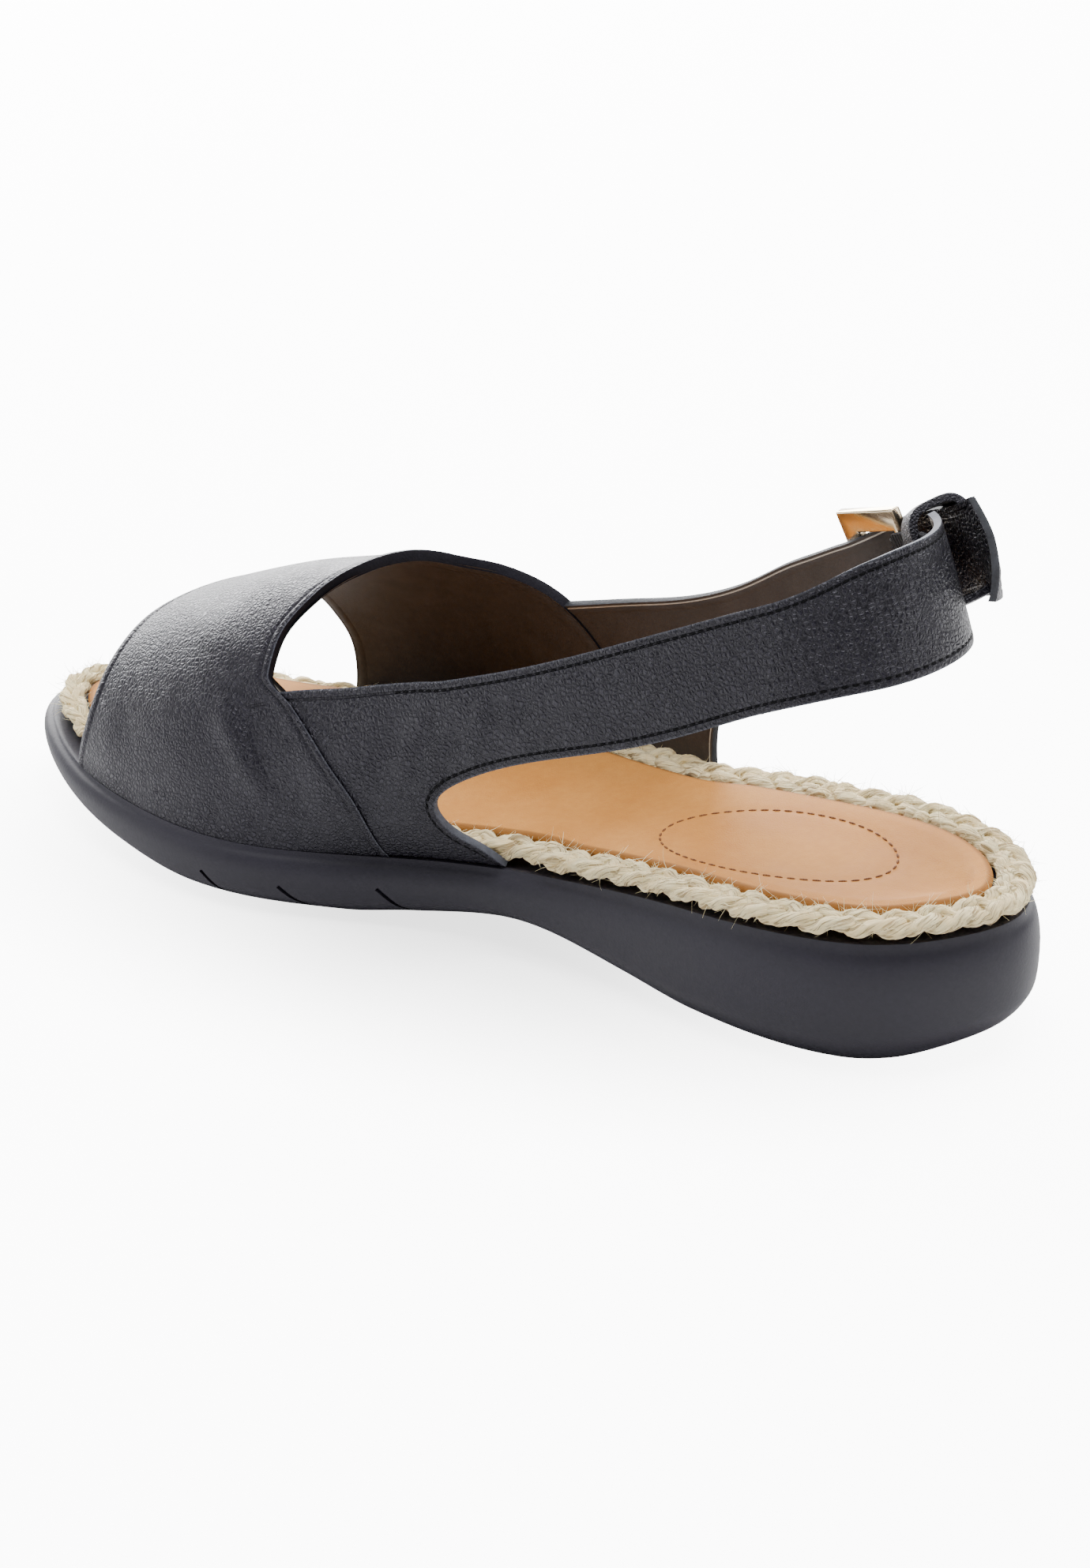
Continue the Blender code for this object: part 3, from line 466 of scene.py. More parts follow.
def last_point(path, rise, side):
    """Points of the last: path along the foot, share of the ridge's height, side of the foot."""
    path, rise, side = np.broadcast_arrays(np.asarray(path, float), np.asarray(rise, float), side)
    x = HEEL_LOOP_IN + path * SOLE_LENGTH
    low = rim_height(x)
    high = INSTEP_HEIGHT * ridge_share(path)
    rise = np.clip(rise, 0.0, 1.0)
    narrowing = np.sqrt(np.maximum(1.0 - rise**ROUNDNESS, 0.0))
    wall = BALL_WIDTH * np.where(side > 0, inner_wall(path), outer_wall(path))
    loop = HEEL_LOOP_RADIUS / (BALL_WIDTH * LOOP_WALL)
    wall = wall * (loop + (1.0 - loop) * smooth_step(path / LOOP_BLEND))
    z = low + rise * (high - low)
    turn = -path * SOLE_LENGTH / HEEL_LOOP_RADIUS
    reach = wall * narrowing
    heel = np.stack([HEEL_LOOP_IN - reach * np.sin(turn), side * reach * np.cos(turn), z], -1)
    middle = BALL_WIDTH * ridge_side(path)
    inner_edge = np.interp(x, INNER_RIM[:, 0], INNER_RIM[:, 1])
    outer_edge = -np.interp(x, OUTER_RIM[:, 0], OUTER_RIM[:, 1])
    foot = np.where(side > 0, inner_edge, outer_edge) - RIM_SETBACK - VAMP_WALL - side * middle
    settle = np.minimum(rise / WALL_SETTLES, 1.0)
    near = wall - side * middle
    width = foot + (near - foot) * (1.0 - (1.0 - settle) ** 2)
    foot_part = np.stack([x, middle + side * width * narrowing, z], -1)
    return np.where((path <= 0.0)[..., None], heel, foot_part)


def last_normal(path, rise, side):
    """Outward directions of the last."""
    path, rise, side = np.broadcast_arrays(np.asarray(path, float), np.asarray(rise, float), side)
    nudge = np.where(rise < 0.5, NUDGE, -NUDGE)
    here = last_point(path, rise, side)
    ahead = last_point(path + NUDGE, rise, side) - here
    above = (last_point(path, rise + nudge, side) - here) * np.sign(nudge)[..., None]
    normal = -side[..., None] * np.cross(ahead, above)
    return normal / np.linalg.norm(normal, axis=-1)[..., None]


def rise_of(path, height):
    """The share of the ridge's height at which a height lies."""
    low = rim_height(HEEL_LOOP_IN + path * SOLE_LENGTH)
    return (height - low) / (INSTEP_HEIGHT * ridge_share(path) - low)


def off_last(path, rise, side, stand):
    """Points that stand off the last by a distance."""
    stand = np.broadcast_to(stand, np.broadcast(path, rise).shape)
    return last_point(path, rise, side) + stand[..., None] * last_normal(path, rise, side)


def foot_height(path):
    """Height at which the upper meets the sole."""
    return rim_height(HEEL_LOOP_IN + path * SOLE_LENGTH) + CLEARANCE


def settled(points, path, above, side, stand):
    """Brings the foot of a wall down or up onto the sole's rim; above is the height over it."""
    base = off_last(path, np.zeros(np.shape(path)), side, stand)
    drop = rim_height(base[..., 0]) + CLEARANCE / 2 - base[..., 2]
    fade = np.exp(-np.maximum(above, 0.0) / FOOT_SETTLES) * smooth_step(np.asarray(path) / SETTLES_FROM)
    points[..., 2] += drop * fade
    return points


def lay(plane, side, stand):
    """Lays places of the plane of way along the foot and height on one side of the last."""
    path, height = plane[..., 0] / SOLE_LENGTH, plane[..., 1]
    middle = STRAP_TOP_HEIGHT * (STRAP_MIDDLE - STRAP_FALL * np.maximum(path - STRAP_LEVEL_TO, 0.0))
    lean = STRAP_LEAN * smooth_step((LEAN_FROM - path) / LEAN_OVER) * (middle - height)
    stand = stand + lean
    points = off_last(path, rise_of(path, height), side, stand)
    return settled(points, path, height - foot_height(path), side, stand)


# Meshes


def deselect():
    """Leaves nothing selected."""
    bpy.ops.object.select_all(action="DESELECT")


def take(piece):
    """Selects one piece alone."""
    deselect()
    piece.select_set(True)
    bpy.context.view_layer.objects.active = piece


def shape_with(piece, kind, **settings):
    """Adds a modifier, sets it and applies it."""
    take(piece)
    bpy.ops.object.modifier_add(type=kind)
    step = piece.modifiers[-1]
    for name, value in settings.items():
        setattr(step, name, value)
    bpy.ops.object.modifier_apply(modifier=step.name)


def round_edges(piece, width, segments, angle):
    """Bevels the edges that are sharper than an angle in degrees."""
    limit = math.radians(angle)
    shape_with(piece, "BEVEL", width=width, segments=segments, limit_method="ANGLE", angle_limit=limit)


def cut_away(piece, tool):
    """Cuts a tool out of a piece and removes the tool."""
    shape_with(piece, "BOOLEAN", solver="EXACT", operation="DIFFERENCE", object=tool)
    bpy.data.objects.remove(tool, do_unlink=True)


def joined(pieces):
    """Joins pieces into the first one."""
    deselect()
    for piece in pieces:
        piece.select_set(True)
    bpy.context.view_layer.objects.active = pieces[0]
    bpy.ops.object.join()
    return bpy.context.object


def add_wall(piece, thickness, labels):
    """Gives a laid sheet its wall; labels are the finishes outside, inside and round the edge."""
    for label in labels:
        piece.data.materials.append(material(label))
    shape_with(piece, "SOLIDIFY", thickness=thickness, offset=-1.0, use_even_offset=False,
               material_offset=1, material_offset_rim=2)


def bell(distance, width):
    """1 on a line, fading to 0 past its width."""
    return np.exp(-((distance / width) ** 2))


def sewn_edge(edge):
    """How deep a strap is pressed in along its stitches and rounded at its cut edge."""
    return STITCH_SUNK * bell(edge - STITCH_IN, STITCH_GROOVE) + EDGE_DROP * bell(edge, EDGE_FADE)


def set_edge(piece, edge):
    """The distance of each point from the piece's free edges, for its materials."""
    channel = piece.data.attributes.new("edge", "FLOAT", "POINT")
    channel.data.foreach_set("value", edge.astype(np.float32))


def finish_piece(piece, nodes, materials=(), smooth=40.0):
    """Smooths a piece, gives it its materials and puts it on the shoe."""
    for material in materials:
        piece.data.materials.append(material)
    take(piece)
    bpy.ops.object.shade_smooth_by_angle(angle=math.radians(smooth))
    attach(piece, "root")
    if nodes:
        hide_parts(*nodes)


def set_map(mesh, run):
    """The piece's own map, in metres along and across it."""
    corners = np.empty(len(mesh.loops), int)
    mesh.loops.foreach_get("vertex_index", corners)
    layer = mesh.uv_layers.active or mesh.uv_layers.new(name="UVMap")
    layer.data.foreach_set("uv", run[corners].astype(np.float32).ravel())


def laid_grid(name, points, edge=None):
    """A grid primitive laid on a table of points; its faces look to the side of rising columns."""
    rows, columns = points.shape[:2]
    deselect()
    bpy.ops.mesh.primitive_grid_add(x_subdivisions=rows - 1, y_subdivisions=columns - 1, size=2.0)
    piece = bpy.context.object
    piece.name = piece.data.name = name
    mesh = piece.data
    spots = np.empty(3 * len(mesh.vertices))
    mesh.vertices.foreach_get("co", spots)
    spots = spots.reshape(-1, 3)
    i = np.rint((spots[:, 0] + 1) / 2 * (rows - 1)).astype(int)
    j = np.rint((spots[:, 1] + 1) / 2 * (columns - 1)).astype(int)
    mesh.vertices.foreach_set("co", points[i, j].ravel())
    along = np.linalg.norm(np.diff(points, axis=0), axis=2)
    along = np.vstack([np.zeros(columns), np.cumsum(along, axis=0)])[:, columns // 2]
    across = np.linalg.norm(np.diff(points, axis=1), axis=2)
    across = np.hstack([np.zeros((rows, 1)), np.cumsum(across, axis=1)])
    run = np.stack([along[i], across[i, j]], 1)
    set_map(mesh, run)
    set_edge(piece, np.zeros(len(i)) if edge is None else edge[i, j])
    mesh.update()
    return piece


def face_out(piece, outwards_at):
    """Turns the faces round if they look the wrong way; outwards_at gives a direction for a point."""
    total = 0.0
    faces = piece.data.polygons
    for number in range(0, len(faces), max(1, len(faces) // 400)):
        total += faces[number].normal.dot(Vector(outwards_at(faces[number].center)))
    if total < 0:
        take(piece)
        bpy.ops.object.mode_set(mode="EDIT")
        bpy.ops.mesh.select_all(action="SELECT")
        bpy.ops.mesh.flip_normals()
        bpy.ops.object.mode_set(mode="OBJECT")


def mesh_object(name, vertices, faces):
    """A new piece from points and faces."""
    mesh = bpy.data.meshes.new(name)
    mesh.from_pydata([tuple(v) for v in np.asarray(vertices, float)], [], faces)
    mesh.update()
    piece = bpy.data.objects.new(name, mesh)
    bpy.context.scene.collection.objects.link(piece)
    return piece


def ring_faces(rings, around, closed=False):
    """Faces between rings of points; closed joins the last ring to the first."""
    faces = []
    for i in range(rings if closed else rings - 1):
        a, b = i * around, (i + 1) % rings * around
        for j in range(around):
            k = (j + 1) % around
            faces.append((a + j, a + k, b + k, b + j))
    return faces


def edge_lines(length, insets, middle):
    """Shares across a line of a length: close to both ends at the insets, even between."""
    insets = np.asarray(insets) * min(1.0, 0.45 * length / insets[-1]) / length
    inside = np.linspace(insets[-1], 1.0 - insets[-1], middle + 2)[1:-1]
    return np.concatenate([insets, inside, 1.0 - insets[::-1]])


def nearest(points, line):
    """Distance from each point to a polyline."""
    points, line = np.asarray(points, float), np.asarray(line, float)
    start, step = line[:-1], np.diff(line, axis=0)
    size = np.maximum((step**2).sum(1), 1e-16)
    best = np.full(len(points), 1e9)
    for a, d, s in zip(start, step, size):
        t = np.clip(((points - a) @ d) / s, 0.0, 1.0)
        gap = points - a - t[:, None] * d
        best = np.minimum(best, (gap**2).sum(1))
    return np.sqrt(best)


def trough(u, v, creases, u_size, v_size):
    """How deep the creases press a point in: u and v are in the creases' own shares."""
    deep = np.zeros(np.broadcast(u, v).shape)
    for u0, v0, u1, v1, depth, width in creases:
        du, dv = (u1 - u0) * u_size, (v1 - v0) * v_size
        size = du * du + dv * dv
        pu, pv = (u - u0) * u_size, (v - v0) * v_size
        t = (pu * du + pv * dv) / size
        off = np.abs(pu * dv - pv * du) / math.sqrt(size)
        bow = np.clip(t, 0.0, 1.0)
        past = np.abs(t - bow) * math.sqrt(size)
        ends = (4.0 * bow * (1.0 - bow)) ** 2
        deep += depth * ends * np.exp(-((off / width) ** 2) - (past / width) ** 2)
    return deep


# Materials


def new_group(name, inputs, outputs):
    """A shader group with named inputs (name, kind, value) and outputs (name, kind)."""
    tree = bpy.data.node_groups.new(name, "ShaderNodeTree")
    for label, kind, value in inputs:
        socket = tree.interface.new_socket(label, in_out="INPUT", socket_type="NodeSocket" + kind)
        if value is not None:
            socket.default_value = value
    for label, kind in outputs:
        tree.interface.new_socket(label, in_out="OUTPUT", socket_type="NodeSocket" + kind)
    return tree, tree.nodes.new("NodeGroupInput"), tree.nodes.new("NodeGroupOutput")


def put(tree, kind, links=(), values=(), **settings):
    """A node with its settings, its socket values and the sockets that feed it."""
    node = tree.nodes.new("ShaderNode" + kind)
    for name, value in settings.items():
        setattr(node, name, value)
    for socket, value in dict(values).items():
        node.inputs[socket].default_value = value
    for socket, source in dict(links).items():
        tree.links.new(source, node.inputs[socket])
    return node


def math_node(tree, operation, a, b=0.0, c=0.0):
    """A number worked out from sockets or plain numbers."""
    node = tree.nodes.new("ShaderNodeMath")
    node.operation = operation
    for socket, value in zip(node.inputs, (a, b, c)):
        if isinstance(value, bpy.types.NodeSocket):
            tree.links.new(value, socket)
        else:
            socket.default_value = value
    return node.outputs[0]


def ramp(tree, value, low, high, start=0.0, end=1.0):
    """A smooth change from start to end while a value goes from low to high."""
    ends = {1: low, 2: high, 3: start, 4: end}
    return put(tree, "MapRange", {0: value}, ends, interpolation_type="SMOOTHSTEP").outputs[0]


def blend_colour(tree, share, one, two):
    """A colour that goes from one to two with a share."""
    node = tree.nodes.new("ShaderNodeMix")
    node.data_type = "RGBA"
    tree.links.new(share, node.inputs["Factor"])
    for socket, colour in ((node.inputs[6], one), (node.inputs[7], two)):
        if isinstance(colour, bpy.types.NodeSocket):
            tree.links.new(colour, socket)
        else:
            socket.default_value = (*colour, 1.0)
    return node.outputs[2]


def grain_group():
    """Pebbled leather: closed cells, smaller cells inside them and fine pores."""
    name = "pebble_grain"
    if name in bpy.data.node_groups:
        return bpy.data.node_groups[name]
    inputs = [("Vector", "Vector", None), ("Cells", "Float", 900.0)]
    tree, start, end = new_group(name, inputs, [("Height", "Float"), ("Pits", "Float")])
    vector, cells = start.outputs["Vector"], start.outputs["Cells"]
    wander = put(tree, "TexNoise", {"Vector": vector}, {"Scale": 260.0, "Detail": 2.0})
    reach = {1: (0.0012,) * 3, 2: (-0.0006,) * 3}
    shift = put(tree, "VectorMath", {0: wander.outputs["Color"]}, reach, operation="MULTIPLY_ADD")
    moved = put(tree, "VectorMath", {0: vector, 1: shift.outputs[0]}, operation="ADD")
    scaled = put(tree, "VectorMath", {0: moved.outputs[0], "Scale": cells}, operation="SCALE").outputs[0]
    big = put(tree, "TexVoronoi", {"Vector": scaled}, {"Scale": 1.0}, feature="DISTANCE_TO_EDGE")
    small = put(tree, "TexVoronoi", {"Vector": scaled}, {"Scale": 2.3}, feature="DISTANCE_TO_EDGE")
    pores = put(tree, "TexNoise", {"Vector": scaled}, {"Scale": 2.0, "Detail": 1.0})
    uneven = put(tree, "TexNoise", {"Vector": vector}, {"Scale": 90.0, "Detail": 3.0})
    pebble = ramp(tree, big.outputs["Distance"], 0.0, 0.28)
    crumb = ramp(tree, small.outputs["Distance"], 0.0, 0.30)
    swell = math_node(tree, "MULTIPLY", pebble, ramp(tree, uneven.outputs[0], 0.30, 0.70, 0.45, 1.0))
    height = math_node(tree, "MULTIPLY_ADD", crumb, 0.14, swell)
    height = math_node(tree, "MULTIPLY_ADD", pores.outputs[0], 0.06, height)
    tree.links.new(height, end.inputs["Height"])
    tree.links.new(math_node(tree, "SUBTRACT", 1.0, pebble), end.inputs["Pits"])
    return tree


def mottle_group():
    """Cloudy unevenness of a dyed surface, from 0 to 1."""
    name = "mottle"
    if name in bpy.data.node_groups:
        return bpy.data.node_groups[name]
    inputs = [("Vector", "Vector", None), ("Scale", "Float", 60.0), ("Contrast", "Float", 0.2)]
    tree, start, end = new_group(name, inputs, [("Value", "Float")])
    fed = {label: start.outputs[label] for label in ("Vector", "Scale")}
    cloud = put(tree, "TexNoise", fed, {"Detail": 5.0, "Roughness": 0.6})
    low = math_node(tree, "SUBTRACT", 0.5, start.outputs["Contrast"])
    high = math_node(tree, "ADD", 0.5, start.outputs["Contrast"])
    node = put(tree, "MapRange", {0: cloud.outputs[0], 1: low, 2: high}, {3: 0.0, 4: 1.0})
    tree.links.new(node.outputs[0], end.inputs["Value"])
    return tree


def use_group(tree, group, links=(), values=()):
    """A node that runs a shader group."""
    node = tree.nodes.new("ShaderNodeGroup")
    node.node_tree = group
    for socket, value in dict(values).items():
        node.inputs[socket].default_value = value
    for socket, source in dict(links).items():
        tree.links.new(source, node.inputs[socket])
    return node


def new_material(name, roughness=0.5, metallic=0.0, **constants):
    """A material with its shader, its node tree and object coordinates."""
    material = bpy.data.materials.new(name)
    material.use_nodes = True
    tree = material.node_tree
    shader = tree.nodes["Principled BSDF"]
    shader.inputs["Roughness"].default_value = roughness
    shader.inputs["Metallic"].default_value = metallic
    for label, value in constants.items():
        shader.inputs[label.replace("_", " ").title().replace("Ior", "IOR")].default_value = value
    place = tree.nodes.new("ShaderNodeTexCoord").outputs["Object"]
    return material, tree, shader, place


def bump(tree, shader, height, distance, strength=1.0):
    """Relief in a material, from a height."""
    node = put(tree, "Bump", {"Height": height}, {"Distance": distance, "Strength": strength})
    tree.links.new(node.outputs[0], shader.inputs["Normal"])


def leather(name, colours, stitched, cells, depth):
    """Dyed black leather: pebbles, pores, fine wrinkles, a pale edge band partly painted as a highlight, and
    the sunk stitching line; the pits and the groove hold painted shade.
    """
    material, tree, shader, place = new_material(
        name, 0.36, specular_ior_level=0.34, specular_tint=LEATHER_GLEAM,
    )
    grain = use_group(tree, grain_group(), {"Vector": place}, {"Cells": cells})
    cloud = use_group(tree, mottle_group(), {"Vector": place}, {"Scale": 45.0, "Contrast": 0.25})
    spot = put(tree, "SeparateXYZ", {0: place})
    strong = ramp(tree, spot.outputs["X"], 0.130, 0.020, 0.72, 1.0)
    slanted = {"Scale": (360.0, 300.0, 250.0), "Rotation": (0.0, 0.55, 0.0)}
    slanted = put(tree, "Mapping", {"Vector": place}, slanted).outputs[0]
    fine = put(tree, "TexNoise", {"Vector": slanted}, {"Scale": 1.0, "Detail": 2.0, "Distortion": 0.8})
    wrinkle = ramp(tree, fine.outputs[0], 0.35, 0.65)
    height = math_node(tree, "MULTIPLY", grain.outputs["Height"], strong)
    height = math_node(tree, "MULTIPLY_ADD", wrinkle, 0.20, height)
    edge = put(tree, "Attribute", attribute_name="edge").outputs["Fac"]
    colour = blend_colour(tree, cloud.outputs[0], colours[0], colours[1])
    # Painted shade: the leather is darker in the grain's pits
    painted_pit_shade = math_node(tree, "MULTIPLY", strong, 0.85)
    painted_pit_shade = math_node(tree, "MULTIPLY", grain.outputs["Pits"], painted_pit_shade)
    colour = blend_colour(tree, painted_pit_shade, colour, colours[2])
    rough = math_node(tree, "MULTIPLY_ADD", grain.outputs["Pits"], 0.16, 0.29)
    rough = math_node(tree, "MULTIPLY_ADD", cloud.outputs[0], 0.08, rough)
    if stitched:
        away = math_node(tree, "ABSOLUTE", math_node(tree, "SUBTRACT", edge, STITCH_IN))
        sunk = ramp(tree, away, 0.00035, 0.0001)
        height = math_node(tree, "MULTIPLY_ADD", sunk, -1.3, height)
        # Painted shade: the sunk stitching groove is darker
        colour = blend_colour(tree, math_node(tree, "MULTIPLY", sunk, 0.55), colour, colours[2])
    # Pale band along the cut edge: partly the edge paint's colour, partly a painted highlight of the light
    # on the rounded edge
    edge_paint_and_sheen = ramp(tree, edge, 0.0006, 0.0)
    colour = blend_colour(tree, math_node(tree, "MULTIPLY", edge_paint_and_sheen, 0.5), colour, colours[3])
    tree.links.new(colour, shader.inputs["Base Color"])
    tree.links.new(rough, shader.inputs["Roughness"])
    bump(tree, shader, height, depth)
    return material


def lining(name, colour, line_colour, line_at=0.0009):
    """Brown lining with faint pores, and the pale cut line below the folded edge."""
    material, tree, shader, place = new_material(name, 0.62, specular_ior_level=0.2)
    cloud = use_group(tree, mottle_group(), {"Vector": place}, {"Scale": 120.0, "Contrast": 0.2})
    pores = put(tree, "TexNoise", {"Vector": place}, {"Scale": 2600.0, "Detail": 2.0})
    edge = put(tree, "Attribute", attribute_name="edge").outputs["Fac"]
    dark = tuple(0.75 * c for c in colour)
    shade = blend_colour(tree, cloud.outputs[0], dark, colour)
    away = math_node(tree, "ABSOLUTE", math_node(tree, "SUBTRACT", edge, line_at))
    line = ramp(tree, away, 0.00050, 0.00020)
    shade = blend_colour(tree, line, shade, line_colour)
    tree.links.new(shade, shader.inputs["Base Color"])
    height = math_node(tree, "MULTIPLY_ADD", line, 0.8, pores.outputs[0])
    bump(tree, shader, height, 0.00006)
    return material


def cut_edge(name, colours):
    """A painted cut edge: layers along it, slightly rough."""
    material, tree, shader, place = new_material(name, 0.65, specular_ior_level=0.12)
    fine = put(tree, "TexNoise", {"Vector": place}, {"Scale": 1500.0, "Detail": 3.0})
    cloud = use_group(tree, mottle_group(), {"Vector": place}, {"Scale": 300.0, "Contrast": 0.2})
    tree.links.new(blend_colour(tree, cloud.outputs[0], colours[0], colours[1]), shader.inputs["Base Color"])
    bump(tree, shader, fine.outputs[0], 0.00010)
    return material


def rubber(name, colours):
    """Matt moulded rubber with a fine tooth; under the sole, ribs run across."""
    material, tree, shader, place = new_material(name, 0.55, specular_ior_level=0.28)
    cloud = use_group(tree, mottle_group(), {"Vector": place}, {"Scale": 25.0, "Contrast": 0.3})
    tooth = put(tree, "TexNoise", {"Vector": place}, {"Scale": 1400.0, "Detail": 3.0})
    wave = put(tree, "TexNoise", {"Vector": place}, {"Scale": 30.0, "Detail": 1.0})
    shade = blend_colour(tree, cloud.outputs[0], colours[0], colours[1])
    tree.links.new(shade, shader.inputs["Base Color"])
    height = math_node(tree, "MULTIPLY_ADD", wave.outputs[0], 3.0, tooth.outputs[0])
    ribs = put(tree, "TexWave", {"Vector": place}, {"Scale": 95.0, "Distortion": 0.0}, bands_direction="X")
    facing = tree.nodes.new("ShaderNodeNewGeometry").outputs["Normal"]
    down = ramp(tree, put(tree, "SeparateXYZ", {0: facing}).outputs["Z"], -0.80, -0.97)
    raised = math_node(tree, "MULTIPLY", ramp(tree, ribs.outputs["Fac"], 0.3, 0.6), down)
    height = math_node(tree, "MULTIPLY_ADD", raised, 9.0, height)
    tree.links.new(math_node(tree, "MULTIPLY_ADD", cloud.outputs[0], 0.12, 0.47), shader.inputs["Roughness"])
    bump(tree, shader, height, 0.00005)
    return material


def jute(name, colours):
    """Plant fibres that run along a strand's own map, with painted shade in the gaps between them."""
    material, tree, shader, place = new_material(
        name, 0.9, specular_ior_level=0.2, sheen_weight=0.10, sheen_roughness=0.6,
    )
    own = tree.nodes.new("ShaderNodeTexCoord").outputs["UV"]
    thin = put(tree, "Mapping", {"Vector": own}, {"Scale": (260.0, 5200.0, 1.0)})
    streaks = {"Scale": 1.0, "Detail": 4.0, "Roughness": 0.62}
    fibres = put(tree, "TexNoise", {"Vector": thin.outputs[0]}, streaks)
    clumps = put(tree, "Mapping", {"Vector": own}, {"Scale": (150.0, 1500.0, 1.0)})
    clump = put(tree, "TexNoise", {"Vector": clumps.outputs[0]}, {"Scale": 1.0, "Detail": 2.0})
    cloud = use_group(tree, mottle_group(), {"Vector": place}, {"Scale": 190.0, "Contrast": 0.22})
    shade = blend_colour(tree, cloud.outputs[0], colours[0], colours[1])
    # Painted shade: dark streaks in the gaps between fibres
    gaps = math_node(tree, "MULTIPLY", fibres.outputs[0], 0.4)
    gaps = math_node(tree, "MULTIPLY_ADD", clump.outputs[0], 0.6, gaps)
    gaps = ramp(tree, gaps, 0.50, 0.42)
    shade = blend_colour(tree, math_node(tree, "MULTIPLY", gaps, 0.80), shade, colours[2])
    tree.links.new(shade, shader.inputs["Base Color"])
    bump(tree, shader, math_node(tree, "MULTIPLY_ADD", clump.outputs[0], 1.4, fibres.outputs[0]), 0.00075)
    return material


def fibre(name, colour):
    """A loose plant fibre."""
    material, tree, shader, place = new_material(name, 0.85, sheen_weight=0.2)
    cloud = use_group(tree, mottle_group(), {"Vector": place}, {"Scale": 400.0, "Contrast": 0.2})
    dark = tuple(0.7 * c for c in colour)
    tree.links.new(blend_colour(tree, cloud.outputs[0], dark, colour), shader.inputs["Base Color"])
    return material


def tan_leather(name, colours):
    """Smooth tan insole leather: mottled dye, fine pores and a darker rubbed edge."""
    material, tree, shader, place = new_material(name, 0.5, specular_ior_level=0.05)
    cloud = use_group(tree, mottle_group(), {"Vector": place}, {"Scale": 38.0, "Contrast": 0.22})
    speck = use_group(tree, mottle_group(), {"Vector": place}, {"Scale": 520.0, "Contrast": 0.18})
    grain = use_group(tree, grain_group(), {"Vector": place}, {"Cells": 1700.0})
    edge = put(tree, "Attribute", attribute_name="edge").outputs["Fac"]
    shade = blend_colour(tree, cloud.outputs[0], colours[0], colours[1])
    shade = blend_colour(tree, math_node(tree, "MULTIPLY", speck.outputs[0], 0.30), shade, colours[2])
    dark = ramp(tree, edge, 0.0012, 0.0002)
    shade = blend_colour(tree, math_node(tree, "MULTIPLY", dark, 0.75), shade, colours[3])
    tree.links.new(shade, shader.inputs["Base Color"])
    tree.links.new(math_node(tree, "MULTIPLY_ADD", cloud.outputs[0], 0.14, 0.52), shader.inputs["Roughness"])
    bump(tree, shader, grain.outputs["Height"], 0.00004)
    return material


def thread(name, colour):
    """Twisted sewing thread."""
    material, tree, shader, place = new_material(name, 0.7, specular_ior_level=0.1)
    turns = {"Scale": 900.0, "Distortion": 1.0}
    twist = put(tree, "TexWave", {"Vector": place}, turns, bands_direction="DIAGONAL")
    dark = tuple(0.55 * c for c in colour)
    tree.links.new(blend_colour(tree, twist.outputs["Fac"], dark, colour), shader.inputs["Base Color"])
    bump(tree, shader, twist.outputs["Fac"], 0.00006)
    return material


def plated(name, colour):
    """Pale gold plating with hairlines and small dull patches."""
    material, tree, shader, place = new_material(name, 0.14, 1.0)
    hair = put(tree, "Mapping", {"Vector": place}, {"Scale": (300.0, 300.0, 6000.0)})
    lines = put(tree, "TexNoise", {"Vector": hair.outputs[0]}, {"Scale": 1.0, "Detail": 3.0})
    cloud = use_group(tree, mottle_group(), {"Vector": place}, {"Scale": 220.0, "Contrast": 0.3})
    dull = tuple(0.86 * c for c in colour)
    tree.links.new(blend_colour(tree, cloud.outputs[0], dull, colour), shader.inputs["Base Color"])
    tree.links.new(math_node(tree, "MULTIPLY_ADD", cloud.outputs[0], 0.10, 0.10), shader.inputs["Roughness"])
    bump(tree, shader, lines.outputs[0], 0.00001)
    return material


def webbing(name, colours):
    """Elastic webbing: ribs across the band and a knitted tooth."""
    material, tree, shader, place = new_material(name, 0.75, specular_ior_level=0.15)
    own = tree.nodes.new("ShaderNodeTexCoord").outputs["UV"]
    rows = {"Scale": 300.0, "Distortion": 0.3, "Detail": 1.0}
    ribs = put(tree, "TexWave", {"Vector": own}, rows, bands_direction="X").outputs["Fac"]
    knit = put(tree, "TexNoise", {"Vector": place}, {"Scale": 3000.0, "Detail": 2.0})
    tree.links.new(blend_colour(tree, ribs, colours[0], colours[1]), shader.inputs["Base Color"])
    bump(tree, shader, math_node(tree, "MULTIPLY_ADD", knit.outputs[0], 0.3, ribs), 0.0003)
    return material


MATERIALS = {}


